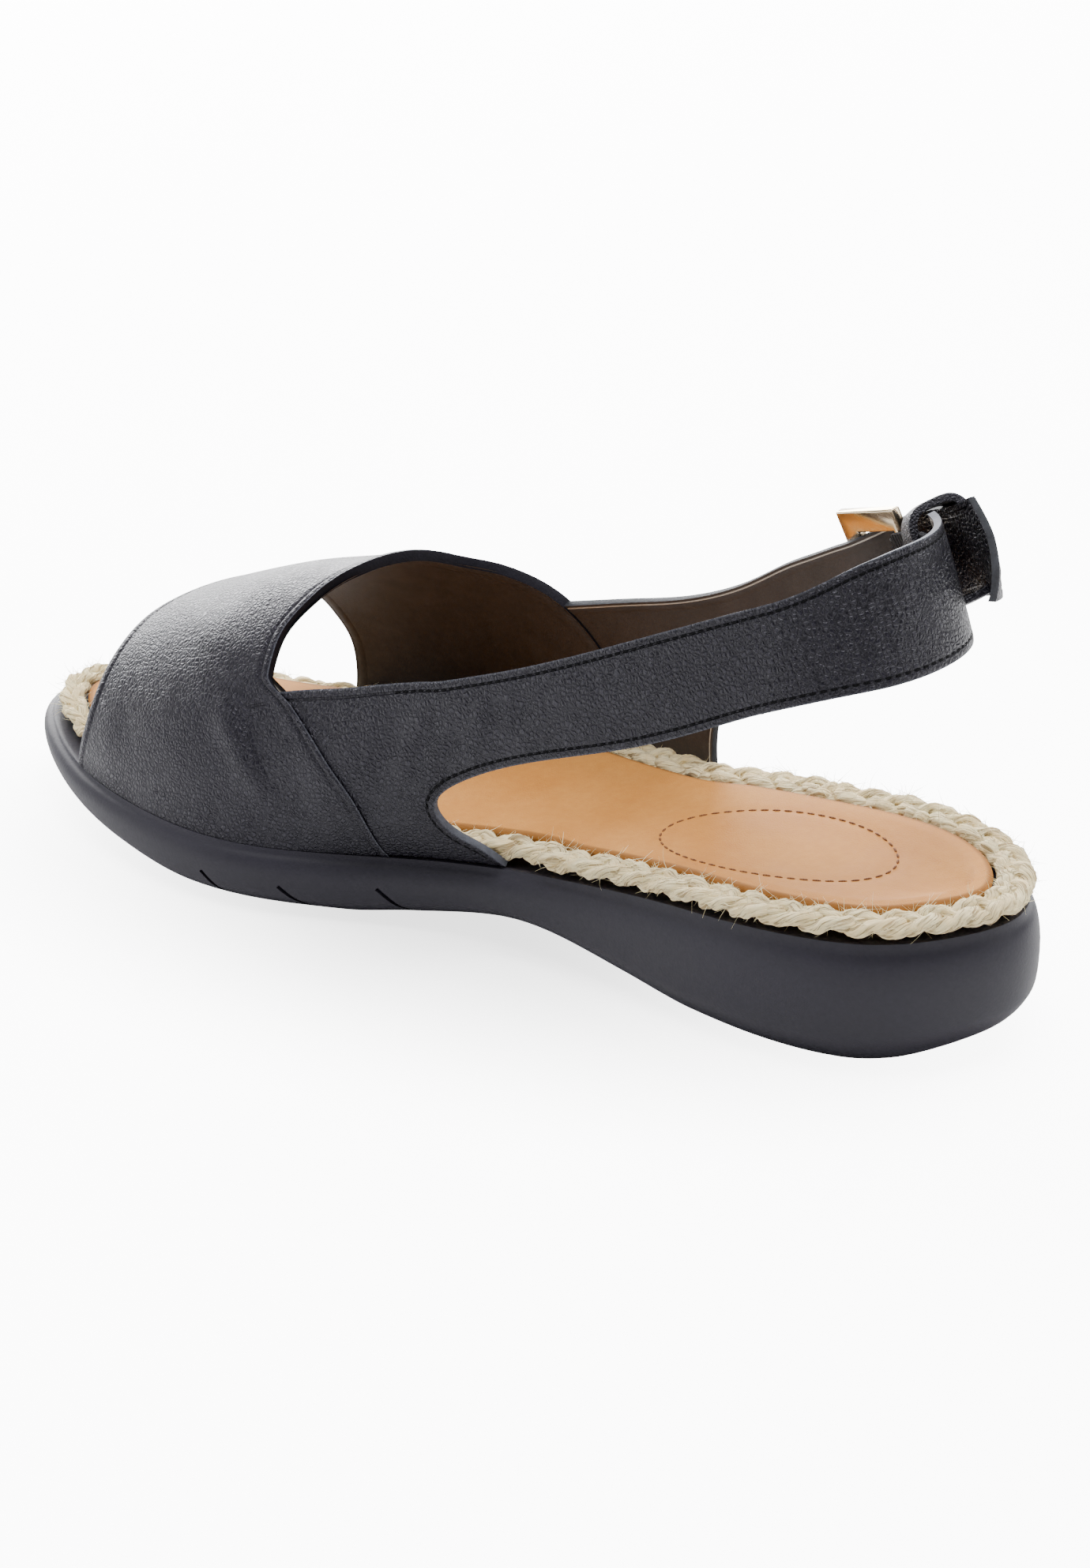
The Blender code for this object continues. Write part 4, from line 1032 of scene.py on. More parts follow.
def material(label):
    """The material of a finish, made the first time that a piece asks for it."""
    if label in MATERIALS:
        return MATERIALS[label]
    look = bpy.context.scene.sandal_colours
    black = tuple(look.leather)
    # deep is the colour of the painted shade in the grain's pits and the stitching groove
    deep = tuple(0.2 * c for c in black)
    soft = tuple(1.6 * c for c in black)
    # The grey of the edge paint; on the cut edge and in the band beside it, it is partly a painted highlight
    edge_paint_and_sheen = tuple(look.edge)
    dim = tuple(0.35 * c for c in edge_paint_and_sheen)
    raw = (tuple(0.12 * c for c in edge_paint_and_sheen), tuple(0.3 * c for c in edge_paint_and_sheen))
    sole = (tuple(look.sole), tuple(1.25 * c for c in look.sole))
    rope = (tuple(look.rope), tuple(look.rope_light), tuple(look.rope_dark))
    tan = [tuple(c) for c in (look.footbed, look.footbed_light, look.footbed_speck, look.footbed_edge)]
    makers = {
        "vamp_leather": lambda: leather(label, (black, soft, deep, edge_paint_and_sheen), False, 950.0, 0.00026),
        "quarter_leather": lambda: leather(label, (black, soft, deep, edge_paint_and_sheen), True, 850.0, 0.00032),
        "strap_leather": lambda: leather(label, (black, soft, deep, dim), True, 850.0, 0.00032),
        "keeper_leather": lambda: leather(label, (black, black, deep, edge_paint_and_sheen), False, 1300.0, 0.00015),
        "lining": lambda: lining("lining", tuple(look.lining), tuple(look.cut_line)),
        "fold": lambda: cut_edge("folded_edge", (black, soft)),
        "cut_edge": lambda: cut_edge("painted_edge", (tuple(0.6 * c for c in edge_paint_and_sheen), edge_paint_and_sheen)),
        "dark_edge": lambda: cut_edge("raw_edge", raw),
        "sole_rubber": lambda: rubber("sole_rubber", sole),
        "jute": lambda: jute("jute", rope),
        "fuzz": lambda: fibre("jute_fuzz", tuple(look.rope_light)),
        "tan": lambda: tan_leather("tan_insole", tan),
        "black_thread": lambda: thread("black_thread", (0.002, 0.002, 0.003)),
        "brown_thread": lambda: thread("brown_thread", tuple(look.oval_thread)),
        "gold": lambda: plated("pale_gold", tuple(look.gold)),
        "elastic": lambda: webbing("black_elastic", ((0.006, 0.006, 0.007), (0.030, 0.030, 0.034))),
    }
    MATERIALS[label] = makers[label]()
    return MATERIALS[label]


# Pieces


def rope_outline(steps):
    """The line that rope and footbed follow: the rim, moved outwards where no upper stands."""
    outline = rim_outline(steps)
    normal = outwards(outline)
    share = along_sole(outline[:, 0])
    inner = np.arange(len(outline)) <= steps
    start = np.where(inner, INNER_BARE[0], OUTER_BARE[0])
    end = np.where(inner, INNER_BARE[1], OUTER_BARE[1])
    bare = np.maximum(smooth_step((start - share) / BARE_RAMP), smooth_step((share - end) / BARE_RAMP))
    return outline + normal * (ROPE_SHIFT * bare)[:, None]


def filled_rings(rings, across):
    """A closed form: rings of points, flat below and with cross strips at the top.

    across gives the share across and the drop for each added point of a strip.
    """
    around = rings[0].shape[0]
    half = around // 2
    points = [tuple(p) for ring in rings for p in ring]
    faces = ring_faces(len(rings), around)
    for base, sag in ((0, ()), ((len(rings) - 1) * around, across)):
        strips = []
        for i in range(half + 1):
            one, two = base + i, base + (around - i) % around
            strip = [one]
            if one != two:
                a, b = np.array(points[one]), np.array(points[two])
                for share, drop in sag:
                    spot = a + (b - a) * share
                    spot[2] += drop(spot[0])
                    points.append(tuple(spot))
                    strip.append(len(points) - 1)
                strip.append(two)
            strips.append(strip)
        for one, two in zip(strips, strips[1:]):
            if len(one) == 1 or len(two) == 1:
                tip, row = (one[0], two) if len(one) == 1 else (two[0], one)
                faces += [(tip, a, b) for a, b in zip(row, row[1:])]
            else:
                faces += [(one[j], one[j + 1], two[j + 1], two[j]) for j in range(len(one) - 1)]
    return np.array(points), faces


def turned_out(piece):
    """Merges doubles and turns all faces of a closed form outwards."""
    take(piece)
    bpy.ops.object.mode_set(mode="EDIT")
    bpy.ops.mesh.select_all(action="SELECT")
    bpy.ops.mesh.remove_doubles(threshold=0.000002)
    bpy.ops.mesh.normals_make_consistent(inside=False)
    bpy.ops.object.mode_set(mode="OBJECT")


def make_outsole():
    """The moulded sole: rings up its side, filled below and above, with its notches."""
    outline = rim_outline(OUTLINE_STEPS)
    normal = outwards(outline)
    rim, tread = rim_height(outline[:, 0]), tread_height(outline[:, 0])
    curve, place = spline(SIDE_ROWS)
    rings = []
    for bulge, tuck, level in np.clip(curve(np.linspace(0.0, place[-1], SIDE_STEPS)), 0.0, 1.0):
        flat = outline + normal * (SIDE_BULGE * bulge - TREAD_IN * tuck)
        rings.append(np.column_stack([flat, tread + (rim - tread) * level]))
    rings.append(np.column_stack([outline - normal * LIP_IN, rim + LIP_HIGH]))
    rings.append(np.column_stack([outline - normal * LIP_WIDE, rim]))
    points, faces = filled_rings(rings, ())
    sole = mesh_object("outsole_rubber", points, faces)
    turned_out(sole)
    for share in NOTCHES:
        cut_notch(sole, share)
    finish_piece(sole, ["outsole"], [material("sole_rubber")], 45.0)


def cut_notch(sole, share):
    """Cuts a slanted nick into both sides of the sole with a thin wedge."""
    x = share * SOLE_LENGTH - HEEL_REST_IN
    floor = float(tread_height(x))
    inner_side = float(np.interp(x, INNER_RIM[:, 0], INNER_RIM[:, 1]))
    outer_side = float(np.interp(x, OUTER_RIM[:, 0], OUTER_RIM[:, 1]))
    for side, edge in ((1, inner_side), (-1, outer_side)):
        deselect()
        bpy.ops.mesh.primitive_cube_add(size=1.0, location=(0.0, 0.0, 0.0))
        blade = bpy.context.object
        turn = Matrix.Rotation(math.radians(NOTCH_LEAN), 4, "Y")
        tall = 2 * NOTCH_HEIGHT / math.cos(math.radians(NOTCH_LEAN))
        blade.data.transform(turn @ Matrix.Diagonal((NOTCH_WIDTH, 2 * TREAD_IN, tall, 1.0)))
        for corner in blade.data.vertices:
            corner.co.y += side * (TREAD_IN - NOTCH_DEPTH + NOTCH_SLOPE * corner.co.z)
        blade.data.transform(Matrix.Translation((x, edge, floor)))
        cut_away(sole, blade)


def rope_line(steps):
    """Evenly spaced centre points of the rope, their outward directions and the lengths to them."""
    coarse = rope_outline(200)
    centre = coarse - outwards(coarse) * (ROPE_IN + ROPE_WIDTH / 2 - ROPE_OVERHANG)
    curve, place = spline(centre, closed=True)
    middle = even(curve, 0.0, place[-1], steps)
    length = np.linalg.norm(np.roll(middle, -1, 0) - middle, axis=1).sum()
    return middle, outwards(middle), length


def strand_rings(strand):
    """Rings of points of one strand of the braid, and the rope's length."""
    look = bpy.context.scene.sandal_sizes
    steps, around = STRAND_STEPS, STRAND_AROUND
    middle, side, length = rope_line(steps)
    turns = round(length / (3 * STRAND_PITCH))
    share = np.arange(steps) / steps
    rng = np.random.default_rng(STRAND_SEED + strand)
    wander = np.zeros((3, steps))
    for wave in range(3, 60):
        angle = 2 * math.pi * (wave * share * 3 + rng.random((3, 1)))
        wander += rng.normal(size=(3, 1)) * np.sin(angle) / 8.0
    phase = 2 * math.pi * (turns * share + strand / 3.0) + 0.25 * wander[0]
    slim = 1.0 - TOE_SLIM * smooth_step((along_sole(middle[:, 0]) - 0.55) / 0.35)
    middle = middle - side * (ROPE_OVERHANG * (1.0 - slim) / TOE_SLIM)[:, None]
    across = slim * look.braid_swing * (np.sin(phase) + 0.12 * np.sin(3 * phase)) * (1.0 + 0.06 * wander[1])
    base = rim_height(middle[:, 0]) + CLEARANCE
    way = along_sole(middle[:, 0])
    beside = smooth_step((way - SINK_FROM) / SINK_FADE) * smooth_step((SINK_TO - way) / SINK_FADE_TO)
    beside = beside * smooth_step(-middle[:, 1] / SINK_SIDE)
    up = ROPE_HEIGHT * 0.5 + look.braid_lift * np.sin(2 * phase) - ROPE_SINK * beside
    line = np.column_stack([middle + side * across[:, None], base + up])
    ahead = np.roll(line, -1, 0) - np.roll(line, 1, 0)
    ahead /= np.linalg.norm(ahead, axis=1)[:, None]
    flat = np.column_stack([side, np.zeros(steps)])
    flat -= ahead * (flat * ahead).sum(1)[:, None]
    flat /= np.linalg.norm(flat, axis=1)[:, None]
    above = np.cross(ahead, flat)
    above *= np.sign(above[:, 2:3])
    wide = slim * look.strand_width / 2 * (1.0 + 0.09 * wander[2])
    thick = look.strand_thickness / 2 * (1.0 + 0.09 * wander[1])
    angle = 2 * math.pi * np.arange(around) / around
    twist = 2 * math.pi * share[:, None] * length / PLY_PITCH
    ply = 1.0 + 0.11 * np.sin(PLIES * angle[None, :] + twist)
    ring = (line[:, None]
            + flat[:, None] * (np.cos(angle)[None, :, None] * (wide[:, None] * ply)[..., None])
            + above[:, None] * (np.sin(angle)[None, :, None] * (thick[:, None] * ply)[..., None]))
    low = (base + 0.0001)[:, None]
    ring[..., 2] = np.maximum(ring[..., 2], low)
    return ring, length


def make_rope():
    """The rope: three strands, each with a map along its fibres, and the fuzz."""
    steps, around = STRAND_STEPS, STRAND_AROUND
    strands = []
    for strand in range(3):
        ring, length = strand_rings(strand)
        faces = ring_faces(steps, around, True)
        piece = mesh_object("rope_strand_" + str(strand + 1), ring.reshape(-1, 3), faces)
        mesh = piece.data
        corners = np.empty(len(mesh.loops), int)
        mesh.loops.foreach_get("vertex_index", corners)
        i, j = corners // around, corners % around
        first = np.repeat(np.arange(len(mesh.polygons)) // around, 4)
        second = np.repeat(np.arange(len(mesh.polygons)) % around, 4)
        i = np.where((first == steps - 1) & (i == 0), steps, i)
        j = np.where((second == around - 1) & (j == 0), around, j)
        u = i / steps * length
        v = j / around * STRAND_ROUND + u * STRAND_TWIST
        layer = mesh.uv_layers.new(name="UVMap")
        layer.data.foreach_set("uv", np.stack([u, v], 1).astype(np.float32).ravel())
        turned_out(piece)
        strands.append(piece)
    rope = joined(strands)
    rope.name = rope.data.name = "rope_braid"
    finish_piece(rope, ["rope_welt"], [material("jute")], 80.0)
    make_fuzz()


def make_fuzz():
    """Loose fibres that stand off the braid, each a bent three-sided hair."""
    look = bpy.context.scene.sandal_sizes
    steps = STRAND_STEPS
    rng = np.random.default_rng(FUZZ_SEED)
    rings = [strand_rings(strand)[0] for strand in range(3)]
    middle, flat_sides, _ = rope_line(steps)
    sides = np.column_stack([flat_sides, np.zeros(steps)])
    share = along_sole(middle[:, 0])
    low = np.where(middle[:, 1] > 0, INNER_BARE[0], OUTER_BARE[0]) - 0.02
    high = np.where(middle[:, 1] > 0, INNER_BARE[1], OUTER_BARE[1]) + 0.02
    covered = (share > low) & (share < high)
    points, faces = [], []
    for _ in range(look.fuzz_count):
        ring = rings[rng.integers(3)]
        i, j = rng.integers(steps), rng.integers(STRAND_AROUND)
        root = ring[i, j]
        centre = ring[i].mean(axis=0)
        out = root - centre
        out /= max(np.linalg.norm(out), 1e-9)
        if out[2] < -0.2 or (covered[i] and out @ sides[i] > -0.3):
            continue
        ahead = ring[(i + 3) % steps].mean(axis=0) - centre
        ahead /= np.linalg.norm(ahead)
        way = ahead * rng.choice([-1.0, 1.0]) + out * rng.uniform(0.1, 0.9) + rng.normal(size=3) * 0.45
        way /= np.linalg.norm(way)
        length = rng.uniform(*HAIR_LENGTH)
        bend = rng.normal(size=3) * 0.5
        thick = rng.uniform(*HAIR_RADIUS)
        side = np.cross(way, [0.3, 0.2, 0.9])
        side /= np.linalg.norm(side)
        other = np.cross(way, side)
        start = len(points)
        for step in range(HAIR_STEPS + 1):
            t = step / HAIR_STEPS
            spot = root + (way * t + bend * t * t * 0.5) * length
            size = thick * (1.0 - 0.75 * t)
            for angle in HAIR_CORNERS:
                points.append(spot + (side * math.cos(angle) + other * math.sin(angle)) * size)
        for step in range(HAIR_STEPS):
            for k in range(3):
                a, b = start + step * 3 + k, start + step * 3 + (k + 1) % 3
                faces.append((a, b, b + 3, a + 3))
        end = start + 3 * HAIR_STEPS
        faces.append((start + 2, start + 1, start))
        faces.append((end, end + 1, end + 2))
    fuzz = mesh_object("rope_fuzz", points, faces)
    finish_piece(fuzz, [], [material("fuzz")], 60.0)


def cup(depth):
    """How far the footbed sinks below its edge near the heel."""
    def drop(x):
        share = float(along_sole(x))
        return -depth * HEEL_CUP * max(0.0, 1.0 - max(share - CUP_ENDS, 0.0) / CUP_FADE) ** CUP_CURVE
    return drop


def make_footbed():
    """The padded footbed, with its cup and the groove of the oval."""
    outline = rope_outline(OUTLINE_STEPS)
    normal = outwards(outline)

    def ring(offset, lift):
        flat = outline - normal * offset
        return np.column_stack([flat, rim_height(flat[:, 0]) + CLEARANCE + lift])

    high = FOOTBED_THICKNESS
    rings = [ring(FOOTBED_IN + 0.0006, 0.0)]
    for turn in np.linspace(0.0, math.pi / 2, 6):
        inset = FOOTBED_ROUND * (1 - math.cos(turn))
        rings.append(ring(FOOTBED_IN + inset, high - FOOTBED_ROUND * (1 - math.sin(turn))))
    for inset in BED_INSETS:
        rings.append(ring(FOOTBED_IN + inset, high))
    depth = column(BED_ROWS, 1)
    across = [(share, cup(float(depth(share)))) for share in np.linspace(0.0, 1.0, BED_STEPS)[1:-1]]
    points, faces = filled_rings(rings, across)
    bed = mesh_object("footbed_pad", points, faces)
    turned_out(bed)
    mesh = bed.data
    spots = np.empty(3 * len(mesh.vertices))
    mesh.vertices.foreach_get("co", spots)
    spots = spots.reshape(-1, 3)
    x, y = (spots[:, 0] - OVAL_AT[0]) / OVAL_HALF[0], (spots[:, 1] - OVAL_AT[1]) / OVAL_HALF[1]
    away = np.abs(np.hypot(x, y) - 1.0) * OVAL_HALF[1]
    top = rim_height(spots[:, 0]) + 0.002
    spots[:, 2] -= np.where(spots[:, 2] > top, OVAL_SUNK * bell(away, OVAL_FADE), 0.0)
    mesh.vertices.foreach_set("co", spots.ravel())
    rim = outline - normal * (FOOTBED_IN + FOOTBED_ROUND * 0.6)
    set_edge(bed, nearest(spots[:, :2], np.vstack([rim, rim[:1]])))
    mesh.update()
    finish_piece(bed, ["footbed"], [material("tan")], 40.0)


def bed_height(x, y):
    """Height of the footbed's top near the heel's middle."""
    outline = rope_outline(OUTLINE_STEPS)
    inner, outer = outline[:OUTLINE_STEPS + 1], outline[OUTLINE_STEPS:][::-1]
    top = np.interp(x, inner[:, 0], inner[:, 1]) - FOOTBED_IN - BED_INSETS[-1]
    low = np.interp(x, outer[:, 0], outer[:, 1]) + FOOTBED_IN + BED_INSETS[-1]
    share = np.clip((top - y) / (top - low), 0.0, 1.0)
    sink = np.array([cup(float(d))(float(q)) for d, q in zip(column(BED_ROWS, 1)(share), x)])
    return rim_height(x) + CLEARANCE + FOOTBED_THICKNESS + sink


def make_stitches(name, points, directions, ups, length, width, label, slot):
    """Rows of stitches, copied from one that is a stretched, flattened ball."""
    deselect()
    bpy.ops.mesh.primitive_uv_sphere_add(segments=8, ring_count=5, radius=0.5)
    model = bpy.context.object
    model.data.transform(Matrix.Diagonal((width, width * 0.7, length, 1.0)))
    shape = np.array([v.co for v in model.data.vertices])
    sides = [tuple(f.vertices) for f in model.data.polygons]
    bpy.data.objects.remove(model, do_unlink=True)
    vertices, faces = [], []
    for spot, way, up in zip(points, directions, ups):
        way = way / np.linalg.norm(way)
        across = np.cross(up, way)
        across /= np.linalg.norm(across)
        over = np.cross(way, across)
        start = len(vertices)
        for p in shape:
            vertices.append(spot + across * p[0] + over * p[1] + way * p[2])
        faces += [tuple(start + k for k in side) for side in sides]
    row = mesh_object(name, vertices, faces)
    turned_out(row)
    finish_piece(row, [], [material(label)], 60.0)


def even_spots(line, pitch):
    """Points at an even pitch of a polyline and the directions there."""
    length = np.concatenate([[0.0], np.cumsum(np.linalg.norm(np.diff(line, axis=0), axis=1))])
    count = max(2, int(length[-1] / pitch))
    at = (np.arange(count) + 0.5) * length[-1] / count

    def along(where):
        where = np.clip(where, 0.0, length[-1])
        return np.column_stack([np.interp(where, length, part) for part in line.T])

    return along(at), along(at + SPOT_REACH) - along(at - SPOT_REACH)


def make_oval():
    """The stitched oval on the heel of the footbed."""
    turn = np.linspace(0.0, 2 * math.pi, 400)
    x = OVAL_AT[0] + OVAL_HALF[0] * np.cos(turn)
    y = OVAL_AT[1] + OVAL_HALF[1] * np.sin(turn)
    line = np.column_stack([x, y, bed_height(x, y) - 0.00008])
    spots, ways = even_spots(line, bpy.context.scene.sandal_sizes.oval_pitch)
    ups = np.tile([0.0, 0.0, 1.0], (len(spots), 1))
    size = (bpy.context.scene.sandal_sizes.oval_pitch * 0.72, OVAL_THREAD_WIDTH)
    make_stitches("heel_oval_stitches", spots, ways, ups, *size, "brown_thread", "footbed")


def vamp_surface(front_shares, stand):
    """A table of points over the foot, from the inner rim to the outer and from front to throat."""
    around = np.linspace(0.0, 1.0, VAMP_STEPS + 1)
    front, throat = column(VAMP_ROWS, 1)(around), column(VAMP_ROWS, 2)(around)
    path = front[:, None] + (throat - front)[:, None] * front_shares
    round_ = np.broadcast_to(around[:, None], path.shape)
    angle = math.pi * round_
    rise = np.sin(np.minimum(angle, math.pi - angle)) ** (2.0 / ROUNDNESS)
    side = np.where(round_ <= 0.5, 1, -1)
    stand = stand - trough(path, round_, VAMP_CREASES, SOLE_LENGTH, VAMP_GIRTH)
    low = rim_height(HEEL_LOOP_IN + path * SOLE_LENGTH)
    above = rise * (INSTEP_HEIGHT * ridge_share(path) - low)
    return settled(off_last(path, rise, side, stand), path, above, side, stand)


def make_vamp():
    """The vamp: laid over the foot, hemmed at both edges, lined inside."""
    rough = vamp_surface(np.linspace(0, 1, 40)[None, :].repeat(VAMP_STEPS + 1, 0), VAMP_WALL)
    lengths = np.linalg.norm(np.diff(rough, axis=1), axis=2).sum(axis=1)
    shares = np.array([edge_lines(length, INSETS, 60) for length in lengths])
    run = shares * lengths[:, None]
    from_front, from_throat = run, lengths[:, None] - run
    stand = VAMP_WALL
    for gap, (high, inset, width) in zip((from_throat, from_throat, from_front, from_front), VAMP_HEMS):
        stand = stand + high * bell(gap - inset, width)
    points = vamp_surface(shares, stand)
    edge = np.minimum(from_front, from_throat)
    vamp = laid_grid("vamp_leather", points, edge)
    face_out(vamp, lambda c: (0.0, c.y, 0.01))
    add_wall(vamp, VAMP_WALL, ("vamp_leather", "lining", "fold"))
    round_edges(vamp, 0.0007, 3, 55.0)
    finish_piece(vamp, ["upper"], (), 45.0)


def inner_table():
    """The inner quarter's rows in metres."""
    rows = []
    for low_path, low, bend_path, bend, high_path, high in INNER_ROWS:
        low = float(foot_height(low_path)) if low is ON_RIM else low * STRAP_TOP_HEIGHT
        rows.append((low_path * SOLE_LENGTH, low, bend_path * SOLE_LENGTH, bend * STRAP_TOP_HEIGHT,
                     high_path * SOLE_LENGTH, high * STRAP_TOP_HEIGHT))
    return rows


def inner_lines(steps):
    """Cross lines of the inner quarter and heel strap: even along it, straight on the rim."""
    rows = inner_table()
    on_rim = sum(1 for row in INNER_ROWS if row[1] is ON_RIM)
    leg, leg_places = spline(rows[:on_rim])
    rest, rest_places = spline(rows[on_rim - 1:])
    first = leg(np.linspace(0.0, leg_places[-1], max(2, steps // 5)))
    first[:, 1] = foot_height(first[:, 0] / SOLE_LENGTH)
    second = rest(np.linspace(0.0, rest_places[-1], steps - len(first) + 1))[1:]
    return np.vstack([first, second])


def inner_plane(lines, shares):
    """Places in the plane of way along the foot and height, on the bent cross lines."""
    low, bend, high = lines[:, None, 0:2], lines[:, None, 2:4], lines[:, None, 4:6]
    t = shares[..., None]
    control = 2 * bend - (low + high) / 2
    return low * (1 - t) ** 2 + 2 * control * t * (1 - t) + high * t * t


def inner_lay(plane, stand):
    """Lays a plane on the inner side of the last."""
    return lay(plane, 1, stand)


def make_inner_quarter():
    """The inner quarter with the heel strap."""
    lines = inner_lines(INNER_STEPS)
    flat = inner_plane(lines, np.linspace(0, 1, 30)[None, :].repeat(len(lines), 0))
    lengths = np.linalg.norm(np.diff(flat, axis=1), axis=2).sum(axis=1)
    shares = np.array([edge_lines(length, INSETS, 26) for length in lengths])
    plane = inner_plane(lines, shares)
    on_rim = len(lines) // 5
    free = np.vstack([plane[on_rim - 2:, 0], plane[-1, :], plane[::-1, -1]])
    edge = nearest(plane.reshape(-1, 2), free).reshape(plane.shape[:2])
    path, height = plane[..., 0] / SOLE_LENGTH, plane[..., 1] / STRAP_TOP_HEIGHT
    deep = trough(path, height, QUARTER_CREASES, SOLE_LENGTH, STRAP_TOP_HEIGHT)
    points = inner_lay(plane, QUARTER_LIFT + QUARTER_WALL - deep - sewn_edge(edge))
    quarter = laid_grid("inner_quarter_leather", points, edge)
    face_out(quarter, lambda c: (min(c.x - HEEL_LOOP_IN, 0.0), c.y, 0.0))
    add_wall(quarter, QUARTER_WALL, ("quarter_leather", "lining", "cut_edge"))
    round_edges(quarter, 0.0004, 2, 55.0)
    finish_piece(quarter, ["upper"], (), 45.0)


def straight_lines(rows, steps):
    """Cross lines of a band whose rows hold low and high edges and a stand off the last."""
    table = []
    for low_path, low, high_path, high, stand in rows:
        low = float(foot_height(low_path)) if low is ON_RIM else low * STRAP_TOP_HEIGHT
        table.append((low_path * SOLE_LENGTH, low, high_path * SOLE_LENGTH, high * STRAP_TOP_HEIGHT, stand))
    on_rim = sum(1 for row in rows if row[1] is ON_RIM)
    if not on_rim:
        curve, place = spline(table)
        return curve(np.linspace(0.0, place[-1], steps)), 0
    leg, leg_places = spline(table[:on_rim])
    rest, rest_places = spline(table[on_rim - 1:])
    first = leg(np.linspace(0.0, leg_places[-1], max(2, steps // 4)))
    first[:, 1] = foot_height(first[:, 0] / SOLE_LENGTH)
    second = rest(np.linspace(0.0, rest_places[-1], steps - len(first) + 1))[1:]
    return np.vstack([first, second]), len(first)


def straight_plane(lines, shares):
    """Places in the plane of way and height, on straight cross lines."""
    low, high = lines[:, None, 0:2], lines[:, None, 2:4]
    return low + (high - low) * shares[..., None]


def outer_lay(plane, stand):
    """Lays a plane on the outer side of the last."""
    return lay(plane, -1, stand)


def make_outer_quarter():
    """The outer quarter with the buckled strap; its free end is black inside."""
    lines, on_rim = straight_lines(OUTER_ROWS, OUTER_STEPS)
    lengths = np.linalg.norm(lines[:, 2:4] - lines[:, 0:2], axis=1)
    shares = np.array([edge_lines(length, INSETS, 26) for length in lengths])
    plane = straight_plane(lines, shares)
    free = np.vstack([plane[on_rim - 2:, 0], plane[-1, :], plane[::-1, -1]])
    edge = nearest(plane.reshape(-1, 2), free).reshape(plane.shape[:2])
    points = outer_lay(plane, QUARTER_LIFT + QUARTER_WALL + lines[:, None, 4] - sewn_edge(edge))
    quarter = laid_grid("outer_quarter_leather", points, edge)
    face_out(quarter, lambda c: (min(c.x - HEEL_LOOP_IN, 0.0), c.y, 0.0))
    add_wall(quarter, QUARTER_WALL, ("strap_leather", "lining", "dark_edge"))
    tail_from = strap_place(BUCKLE_AT, 0.0)[0][0]
    for face in quarter.data.polygons:
        if face.material_index == 1 and face.center.x < tail_from:
            face.material_index = 0
    round_edges(quarter, 0.0004, 2, 55.0)
    finish_piece(quarter, ["upper"], (), 45.0)


def inset_line(line, inset):
    """A polyline moved to its left by an inset."""
    ahead = np.gradient(line, axis=0)
    ahead /= np.linalg.norm(ahead, axis=1)[:, None]
    return line + inset * np.stack([-ahead[:, 1], ahead[:, 0]], 1)


def stitch_row(line, lay, side, stand):
    """Spots, directions and ups of stitches on a line in the plane of way and height."""
    spots, _ = even_spots(line, bpy.context.scene.sandal_sizes.stitch_pitch)
    path = spots[:, 0] / SOLE_LENGTH
    ups = last_normal(path, rise_of(path, spots[:, 1]), side)
    fine = line[np.linspace(0, len(line) - 1, 4 * len(spots)).astype(int)]
    laid = lay(fine, stand)
    places = lay(spots, stand)
    nearest_fine = [int(np.argmin(((laid - p) ** 2).sum(1))) for p in places]
    ways = np.array([laid[min(k + 1, len(laid) - 1)] - laid[max(k - 1, 0)] for k in nearest_fine])
    return places, ways, ups


def make_edge_stitches():
    """The rows of stitches along the edges of both quarters."""
    look = bpy.context.scene.sandal_sizes
    lines = inner_lines(INNER_STEPS)
    top = QUARTER_LIFT + QUARTER_WALL - STITCH_SUNK
    on_rim = len(lines) // 5
    low = lines[on_rim - 1:, 0:2]
    high = lines[on_rim + 10:, 4:6]
    edges = (inset_line(low, -STITCH_IN)[4:-5], inset_line(high, STITCH_IN)[:-5])
    rows = [stitch_row(line, inner_lay, 1, top) for line in edges]
    strap, strap_rim = straight_lines(OUTER_ROWS, OUTER_STEPS)
    for number, sign in ((0, -1), (2, 1)):
        line = inset_line(strap[strap_rim - 1:, number:number + 2], sign * STITCH_IN)[3:-4]
        stands = strap[strap_rim - 1:, 4][3:-4]

        def lay(plane, stand, line=line, stands=stands):
            index = np.array([int(np.argmin(((line - p) ** 2).sum(1))) for p in plane])
            return outer_lay(plane, stand + stands[index])

        rows.append(stitch_row(line, lay, -1, top))
    places, ways, ups = (np.vstack(part) for part in zip(*rows))
    size = (look.stitch_pitch * 0.74, THREAD_WIDTH)
    make_stitches("edge_stitches", places, ways, ups, *size, "black_thread", "upper")


def strap_place(at, stand):
    """Middle, back, up and out directions and width of the buckled strap at a path."""
    lines, _ = straight_lines(OUTER_ROWS[4:], 201)
    number = int(np.argmin(np.abs(lines[:, 0] + lines[:, 2] - 2 * at * SOLE_LENGTH)))
    shares = np.linspace(0.0, 1.0, 6)[None, :]
    near, here, far = (
        outer_lay(straight_plane(lines[[i]], shares), stand)[0] for i in (number - 8, number, number + 8)
    )
    back = far.mean(axis=0) - near.mean(axis=0)
    back /= np.linalg.norm(back)
    up = here[-1] - here[0]
    up -= back * (up @ back)
    width = float(np.linalg.norm(up))
    up /= width
    return here.mean(axis=0), back, up, np.cross(up, back), width


def buckle_place():
    """Place and directions of the buckle: the strap's, tilted and turned a little."""
    middle, back, up, out, width = strap_place(BUCKLE_AT, BUCKLE_STAND)
    tilt, turn = math.radians(BUCKLE_TILT), math.radians(BUCKLE_TURN)
    back, up = back * math.cos(tilt) - up * math.sin(tilt), up * math.cos(tilt) + back * math.sin(tilt)
    back, out = back * math.cos(turn) - out * math.sin(turn), out * math.cos(turn) + back * math.sin(turn)
    return middle, back, up, out, width


def local_matrix(place):
    """The matrix that takes (back, up, out) to the shoe."""
    middle, back, up, out = place[:4]
    return Matrix((*zip(back, up, out, middle), (0.0, 0.0, 0.0, 1.0)))


